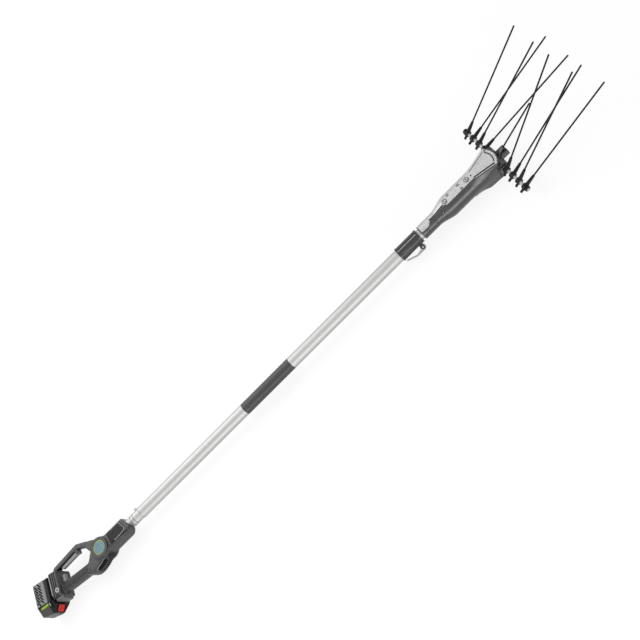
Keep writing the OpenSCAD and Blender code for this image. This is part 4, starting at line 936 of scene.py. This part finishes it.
# Frame round the latch and ridges on it, in the frame of the latch's face: along it and across the battery
LATCH_TURN, LATCH_AT = math.radians(-33.69), (-3, -66)
latch_way = -math.sin(LATCH_TURN) * dock_x + math.cos(LATCH_TURN) * dock_y
latch_face = plane(in_dock(*LATCH_AT, 0), latch_way, UP)
LATCH_FRAME = [box_line(-14.2, -18, -11.6, 18), box_line(11.6, -18, 14.2, 18),
               box_line(-11.6, -18, 11.6, -13.6), box_line(-11.6, 13.6, 11.6, 18)]
LATCH_RIDGES = [box_line(u - 0.8, -10, u + 0.8, 10) for u in (-6, -2, 2, 6)]
slab("latch_frame", BATTERY_SHADE, LATCH_FRAME, low=-1, high=0.5, at=latch_face, edge=0.2)
slab("latch_ridges", ("latch", "red_plastic", "red_plastic"), LATCH_RIDGES, low=0.4, high=1.7, at=latch_face, edge=0.4)


# Pole: a dark band, rings on the ferrule, and a dark ring painted as the shade in the gap at the tube's end

POLE_RING = ("handle", "band_and_shade_film", "steel")
POLE_BAND = hoop(669, 880, 19.8, 20.2)
FERRULE_RINGS, FERRULE_RING_HALF, FERRULE_RING_R = (139, 150), 0.8, (18, 18.7)
TUBE_END_SHADE = [(177.4, 18), (177.4, 19.6), (179.8, 20.2), (179.8, 18)]
lathe("pole_band", ("handle", "band_and_shade_film", "tube_aluminium"), [POLE_BAND], (0, 0, 0), ALONG)
lathe("ferrule_rings", POLE_RING,
      [hoop(x - FERRULE_RING_HALF, x + FERRULE_RING_HALF, *FERRULE_RING_R) for x in FERRULE_RINGS], (0, 0, 0), ALONG)
lathe("tube_end_shade_ring", POLE_RING, [TUBE_END_SHADE], (0, 0, 0), ALONG)


# Head, measured along the pole

BODY = ("head", "head_plastic", "head_plastic")
BODY_SHADE = ("head", "shade_black", "head_plastic")
COVER = ("head", "cover_aluminium", "cover_aluminium")
COVER_SHADE = ("head", "shade_black", "cover_aluminium")

HEAD = 1441.0
SHAFT_X = HEAD + 303
COVER_TOP, COVER_LOW = 33.0, 18.5
NECK_R, BELLY_R = 23.0, 35.0
NECK_END, BELLY_START = HEAD + 62, HEAD + 112
# How far the body's soft shoulder reaches past the straight one
SHOULDER = 6
ARC_X, ARC_R = SHAFT_X - 42, 48.0
# Half the cover's width, along the head
COVER_HALF = ((HEAD + 4, HEAD + 112, HEAD + 219, SHAFT_X), (12.5, 13.5, 13.5, 36.0))

# The skirt that widens to the rake: half its width and its underside, along the head
SKIRT_START = 1632
SKIRT_HALF = ((1640, 1680, SHAFT_X), (28, 35.5, 40))
SKIRT_LOW = ((1640, 1660, 1681), (-27, -31, -40))
SKIRT_SIDE_EDGE, SKIRT_LOW_EDGE, SKIRT_FILLET = 4, 5, 8
# Its leaning flanks: half their spacing at one place on top, how it grows, how they lean and that lean's cosine
FLANK_X, FLANK_HALF, FLANK_GROWS, FLANK_LEAN, FLANK_COS = 1660, 18, 0.2586, 0.577, 0.866

# The front: the wall round the cover's arc, and the nose about the shaft
ARC_WALL, NOSE_R = 3.5, 16.5
HEAD_EDGE = 1.5
# A field's value well inside it
INSIDE = -9.0

# The body's wall, where its hollow starts, the cover's seat, the pole's socket and the rocker's opening
WALL, HOLLOW_START, HOLLOW_RIM = 6, 1516, 0.5
SEAT_GAP, SEAT_START, SEAT_RIM = 0.4, HEAD + 3.6, 0.4
SOCKET_R, SOCKET_END = 17.2, 1512
ROCKER_HOLE, ROCKER_RIM = ((SHAFT_X - 1, -17.5, -26.5), (SHAFT_X + 60, 17.5, 26.5)), 0.8


def straight_r(x):
    """Radius of the neck and belly with a straight shoulder between them."""
    return NECK_R + (BELLY_R - NECK_R) * np.clip((x - NECK_END) / (BELLY_START - NECK_END), 0, 1)


def head_round(x, y, z):
    """The head's neck and belly, turned about the pole's axis and cut flat on top."""
    return np.maximum(np.hypot(y, z) - straight_r(x), z - COVER_TOP)


def ease(x, start, end):
    """From 0 to 1 between two places, with a soft start and end."""
    k = np.clip((x - start) / (end - start), 0, 1)
    return k * k * (3 - 2 * k)


def head_outer(x, y, z):
    """Turned neck and belly, a skirt that widens to the rake, and an arched front with the shaft's bosses."""
    swell = (BELLY_R - NECK_R) * ease(x, NECK_END - SHOULDER, BELLY_START + SHOULDER)
    turned = np.maximum(np.hypot(y, z) - NECK_R - swell, HEAD - x)
    reach = FLANK_HALF + (x - FLANK_X) * FLANK_GROWS + (COVER_TOP - z) * FLANK_LEAN
    side = meet(np.abs(y) - np.interp(x, *SKIRT_HALF), (np.abs(y) - reach) * FLANK_COS, SKIRT_SIDE_EDGE)
    skirt = meet(side, np.maximum(np.interp(x, *SKIRT_LOW) - z, SKIRT_START - x), SKIRT_LOW_EDGE)
    d = meet(blend(turned, skirt, SKIRT_FILLET), z - COVER_TOP, HEAD_EDGE)
    front = np.minimum(np.hypot(x - ARC_X, y) - ARC_R - ARC_WALL, np.hypot(x - SHAFT_X, z) - NOSE_R)
    return meet(d, np.where(x > ARC_X, front, INSIDE), HEAD_EDGE)


def head_skin(x, y, z):
    d = head_outer(x, y, z)
    d = carve(d, np.maximum(d + WALL, HOLLOW_START - x), HOLLOW_RIM)
    arc = np.where(x > ARC_X, np.hypot(x - ARC_X, y) - ARC_R, INSIDE)
    seat = [np.abs(y) - np.interp(x, *COVER_HALF) - SEAT_GAP, COVER_LOW - z, SEAT_START - x, arc - SEAT_GAP]
    d = carve(d, np.maximum.reduce(seat), SEAT_RIM)
    d = carve(d, np.maximum(np.hypot(y, z) - SOCKET_R, x - SOCKET_END), SEAT_RIM)
    return carve(d, box_field(x, y, z, *ROCKER_HOLE), ROCKER_RIM)


body = skin("moulded_head", BODY, head_skin, (1438, -45, -43), (1772, 45, 37), STEP)
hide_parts("head_body")

# The cover's light flange down one flank: its low edge along the head, its overlap with the cover, and its ends
FLANGE_LOW = ((1500, 1560, 1640, 1680), (12, 18, 18, 29))
FLANGE_LAP, FLANGE_START, FLANGE_END = 0.6, HEAD + 3, 1740
# The body's cheek that covers one corner of the cover, and the painted shadow line along it
CHEEK = [(1488, -1.5), (1540, -2.5), (1558, -15), (1470, -15)]
CHEEK_CORNER = 2
CHEEK_LINE, CHEEK_LINE_R, CHEEK_LINE_UP = (1484, 1543), 1.3, 0.7
# A place on that line, and how it slants
CHEEK_LINE_AT, CHEEK_LINE_SLANT = (1480, -1.2), 0.02


def flange_zone(x, y, z):
    edge = np.interp(x, *COVER_HALF) - FLANGE_LAP
    return np.maximum.reduce([edge - y, np.interp(x, *FLANGE_LOW) - z, FLANGE_START - x, x - FLANGE_END])


def cheek_zone(x, y, z):
    return np.maximum(outline(x, y, CHEEK, CHEEK_CORNER), -z)


def cheek_point(x):
    """A place of the cheek's line, just above the neck or belly."""
    y = CHEEK_LINE_AT[1] - (x - CHEEK_LINE_AT[0]) * CHEEK_LINE_SLANT
    return (x, y, min(math.sqrt(straight_r(x) ** 2 - y * y), COVER_TOP) + CHEEK_LINE_UP)


inlay("cover_flange", COVER, head_outer, flange_zone, (1440, 8, 4), (1745, 46, 37), proud=0.5, deep=1.5)
inlay("cover_cheek", BODY, head_round, cheek_zone, (1468, -20, 8), (1555, 3, 36), proud=0.5, deep=1.2)
bead("cheek_shadow_line", BODY_SHADE, [[cheek_point(x) for x in np.linspace(*CHEEK_LINE, num=40)]], CHEEK_LINE_R)

# Lines along the cover's fan: painted shade in the gap at one edge, a painted highlight on the body's lip beside it,
# and a grey line along the other edge
FAN_X, FAN_UP = (1664, 1731), 0.3


def fan_line(y0, y1):
    return [(x, y0 + (y1 - y0) * (x - FAN_X[0]) / (FAN_X[1] - FAN_X[0]), COVER_TOP + FAN_UP)
            for x in np.linspace(*FAN_X, num=24)]


bead("fan_shadow", BODY_SHADE, [fan_line(-12.6, -26.4)], radius=1.9)
bead("fan_highlight", ("head", "trim_and_highlight_plastic", "cover_aluminium"), [fan_line(-16.4, -30.6)], radius=1.5)
bead("fan_groove", ("head", "lip_plastic", "cover_aluminium"), [fan_line(12.5, 28.0)], radius=0.7)

# Small louvres on the cover, in threes
LOUVRES = [(1613.9, 9.2), (1572.9, 9.2), (1616.0, -9.2)]
LOUVRE_PITCH, LOUVRE_HALF = 3.2, (0.9, 3.6)
LOUVRE_SUNK, LOUVRE_UP = 0.8, 0.35
louvres = [box_line(x + k * LOUVRE_PITCH - LOUVRE_HALF[0], y - LOUVRE_HALF[1],
                    x + k * LOUVRE_PITCH + LOUVRE_HALF[0], y + LOUVRE_HALF[1]) for x, y in LOUVRES for k in (-1, 0, 1)]
slab("cover_louvres", COVER_SHADE, louvres, COVER_TOP - LOUVRE_SUNK, COVER_TOP + LOUVRE_UP, level, edge=0.15)

# Screws: sunk in the body's side, ringed on the cover
SUNK = [((1529.2, -18.4, 22.7), (-0.23, -0.64, 0.73)), ((1496.3, -17.6, 14.8), (0, -0.78, 0.63)),
        ((1461.9, -19.0, 13.0), (0, -0.84, 0.55))]
RIM = [(-1.0, 2.6), (0.5, 2.6), (0.9, 3.2), (0.7, 4.2), (-1.0, 4.6)]
STUD = [(-1.0, 0.3), (0.5, 0.3), (0.5, 1.5), (0.1, 2.1), (-1.0, 2.2)]
COVER_SCREWS = (HEAD + 113, HEAD + 201)
RING = [(-0.5, 6.4), (0.5, 6.4), (0.8, 6.8), (0.8, 7.6), (0.4, 8.0), (-0.5, 8.0)]
PIT = [(-0.4, 0.3), (0.25, 0.3), (0.25, 2.2), (-0.4, 2.2)]
RING_UP, PIT_UP = 1.5, 4
HEAD_SHADE, HEAD_STUD = ("head", "shade_black", "steel"), ("head", "trim_and_highlight_plastic", "steel")
for i, (place, out) in enumerate(SUNK, 1):
    lathe(f"body_screw_rim_{i}", BODY_SHADE, [RIM], place, out, sides=32)
    lathe(f"body_screw_{i}", HEAD_STUD, [STUD], place, out, sides=32)
for i, x in enumerate(COVER_SCREWS, 1):
    lathe(f"cover_ring_{i}", COVER_SHADE, [RING], (x, 0, COVER_TOP + RING_UP), UP, sides=48)
    lathe(f"cover_screw_socket_{i}", HEAD_SHADE, [PIT], (x, 0, COVER_TOP + PIT_UP), UP, sides=24)

# Bolt at the cover's front corner, the seam down the fan's side and the shadow inside the arc
CORNER = (1737, 27.5, COVER_TOP)
CORNER_RIM = [(-0.5, 2.4), (0.6, 2.4), (1.0, 3.0), (0.8, 4.2), (-0.5, 4.6)]
CORNER_BOLT = [(-0.5, 0.3), (0.5, 0.3), (0.5, 2.3), (-0.5, 2.4)]
# The seam's top, how it runs on for each millimetre down, and its length
SEAM_TOP, SEAM_RUN, SEAM_L = (1726.9, -38.95, 23.6), (-0.073, 0.005, -1), 59
ARC_SHADOW_R, ARC_SHADOW_TURNS, ARC_SHADOW_UP = 39, (-0.56, 0.6), 0.1
seam = [np.array(SEAM_TOP) + k * np.array(SEAM_RUN) for k in np.linspace(0, SEAM_L, num=24)]
arc_shadow = [(ARC_X + ARC_SHADOW_R * math.cos(a), ARC_SHADOW_R * math.sin(a), COVER_TOP + ARC_SHADOW_UP)
              for a in np.linspace(*ARC_SHADOW_TURNS, num=30)]
lathe("corner_bolt_rim", HEAD_STUD, [CORNER_RIM], CORNER, UP, sides=32)
lathe("corner_bolt", HEAD_SHADE, [CORNER_BOLT], CORNER, UP, sides=24)
bead("side_seam", BODY_SHADE, [seam], radius=1.0)
bead("arc_shadow", COVER_SHADE, [arc_shadow], radius=1.5)

# Collar: a painted highlight streak along its top and a raised frame on its side
COLLAR_HIGHLIGHT_X, COLLAR_HIGHLIGHT_YZ = (1353, 1428), (-2.4, 22.7)
# The frame's two lines: their start, how they run on for each millimetre along the collar, and their ends
FRAME_LINES = (((1367, -14.9, 17.2), (1, -0.094, -0.118)), ((1365, -20.7, 9.4), (1, -0.047, -0.131)))
FRAME_ENDS = (-3, 25)
frame_lines = [[np.array(start) + k * np.array(run) for k in np.linspace(*FRAME_ENDS, num=8)]
               for start, run in FRAME_LINES]
bead("collar_highlight", ("handle", "trim_and_highlight_plastic", "black_plastic"),
     [[(x, *COLLAR_HIGHLIGHT_YZ) for x in np.linspace(*COLLAR_HIGHLIGHT_X, num=12)]], radius=1.1)
bead("collar_frame", ("handle", "panel_and_highlight_plastic", "black_plastic"), frame_lines, radius=0.8)

# Rocker nose, from the shaft on: ribs across its root, a screw, and a painted highlight along one edge
ROCKER_TOP = 9.5
ROCKER_RIBS, RIB_Y = (13, 17, 21), (-12, 12)
EDGE_X, EDGE_Y = (10, 41), 13
ROCKER_SCREW_AT = (SHAFT_X + 33, 4, ROCKER_TOP)
ROCKER_SCREW = [(-1, 0.6), (0.9, 0.6), (0.9, 2.4), (0.4, 3), (-1, 3)]
rocker_ribs = [[(SHAFT_X + u, y, ROCKER_TOP) for y in np.linspace(*RIB_Y, num=6)] for u in ROCKER_RIBS]
rocker_highlight = [(SHAFT_X + u, EDGE_Y, ROCKER_TOP) for u in np.linspace(*EDGE_X, num=8)]
bead("rocker_ribs", ("rake", "shade_black", "black_plastic"), rocker_ribs, radius=1.2)
bead("rocker_highlight", ("rake", "panel_and_highlight_plastic", "black_plastic"), [rocker_highlight], radius=0.8)
lathe("rocker_screw", ("rake", "trim_and_highlight_plastic", "black_plastic"), [ROCKER_SCREW], ROCKER_SCREW_AT, UP)


# CAD nodes

NODE_LOOKS = {"badge_bezel": "bezel_plastic", "strap_bush": "trim_and_highlight_plastic", "rear_button": "trim_and_highlight_plastic",
              "collar_body": "collar_plastic", "end_nuts": "black_plastic", "shaft_bearings": "head_plastic",
              "rocker_fork": "head_plastic"}
NODE_EDGE = 0.5


def dress_cad():
    """Each CAD node takes its slot's look, or its own, and a small rounded edge."""
    slot_of = {s["node"]: s["material_slot"] for s in frame["record"]["subparts"]}
    for name, obj in frame["nodes"].items():
        obj.data.materials.clear()
        obj.data.materials.append(looks[NODE_LOOKS.get(name, slot_of[name])].mat)
        soften(obj, NODE_EDGE)


dress_cad()
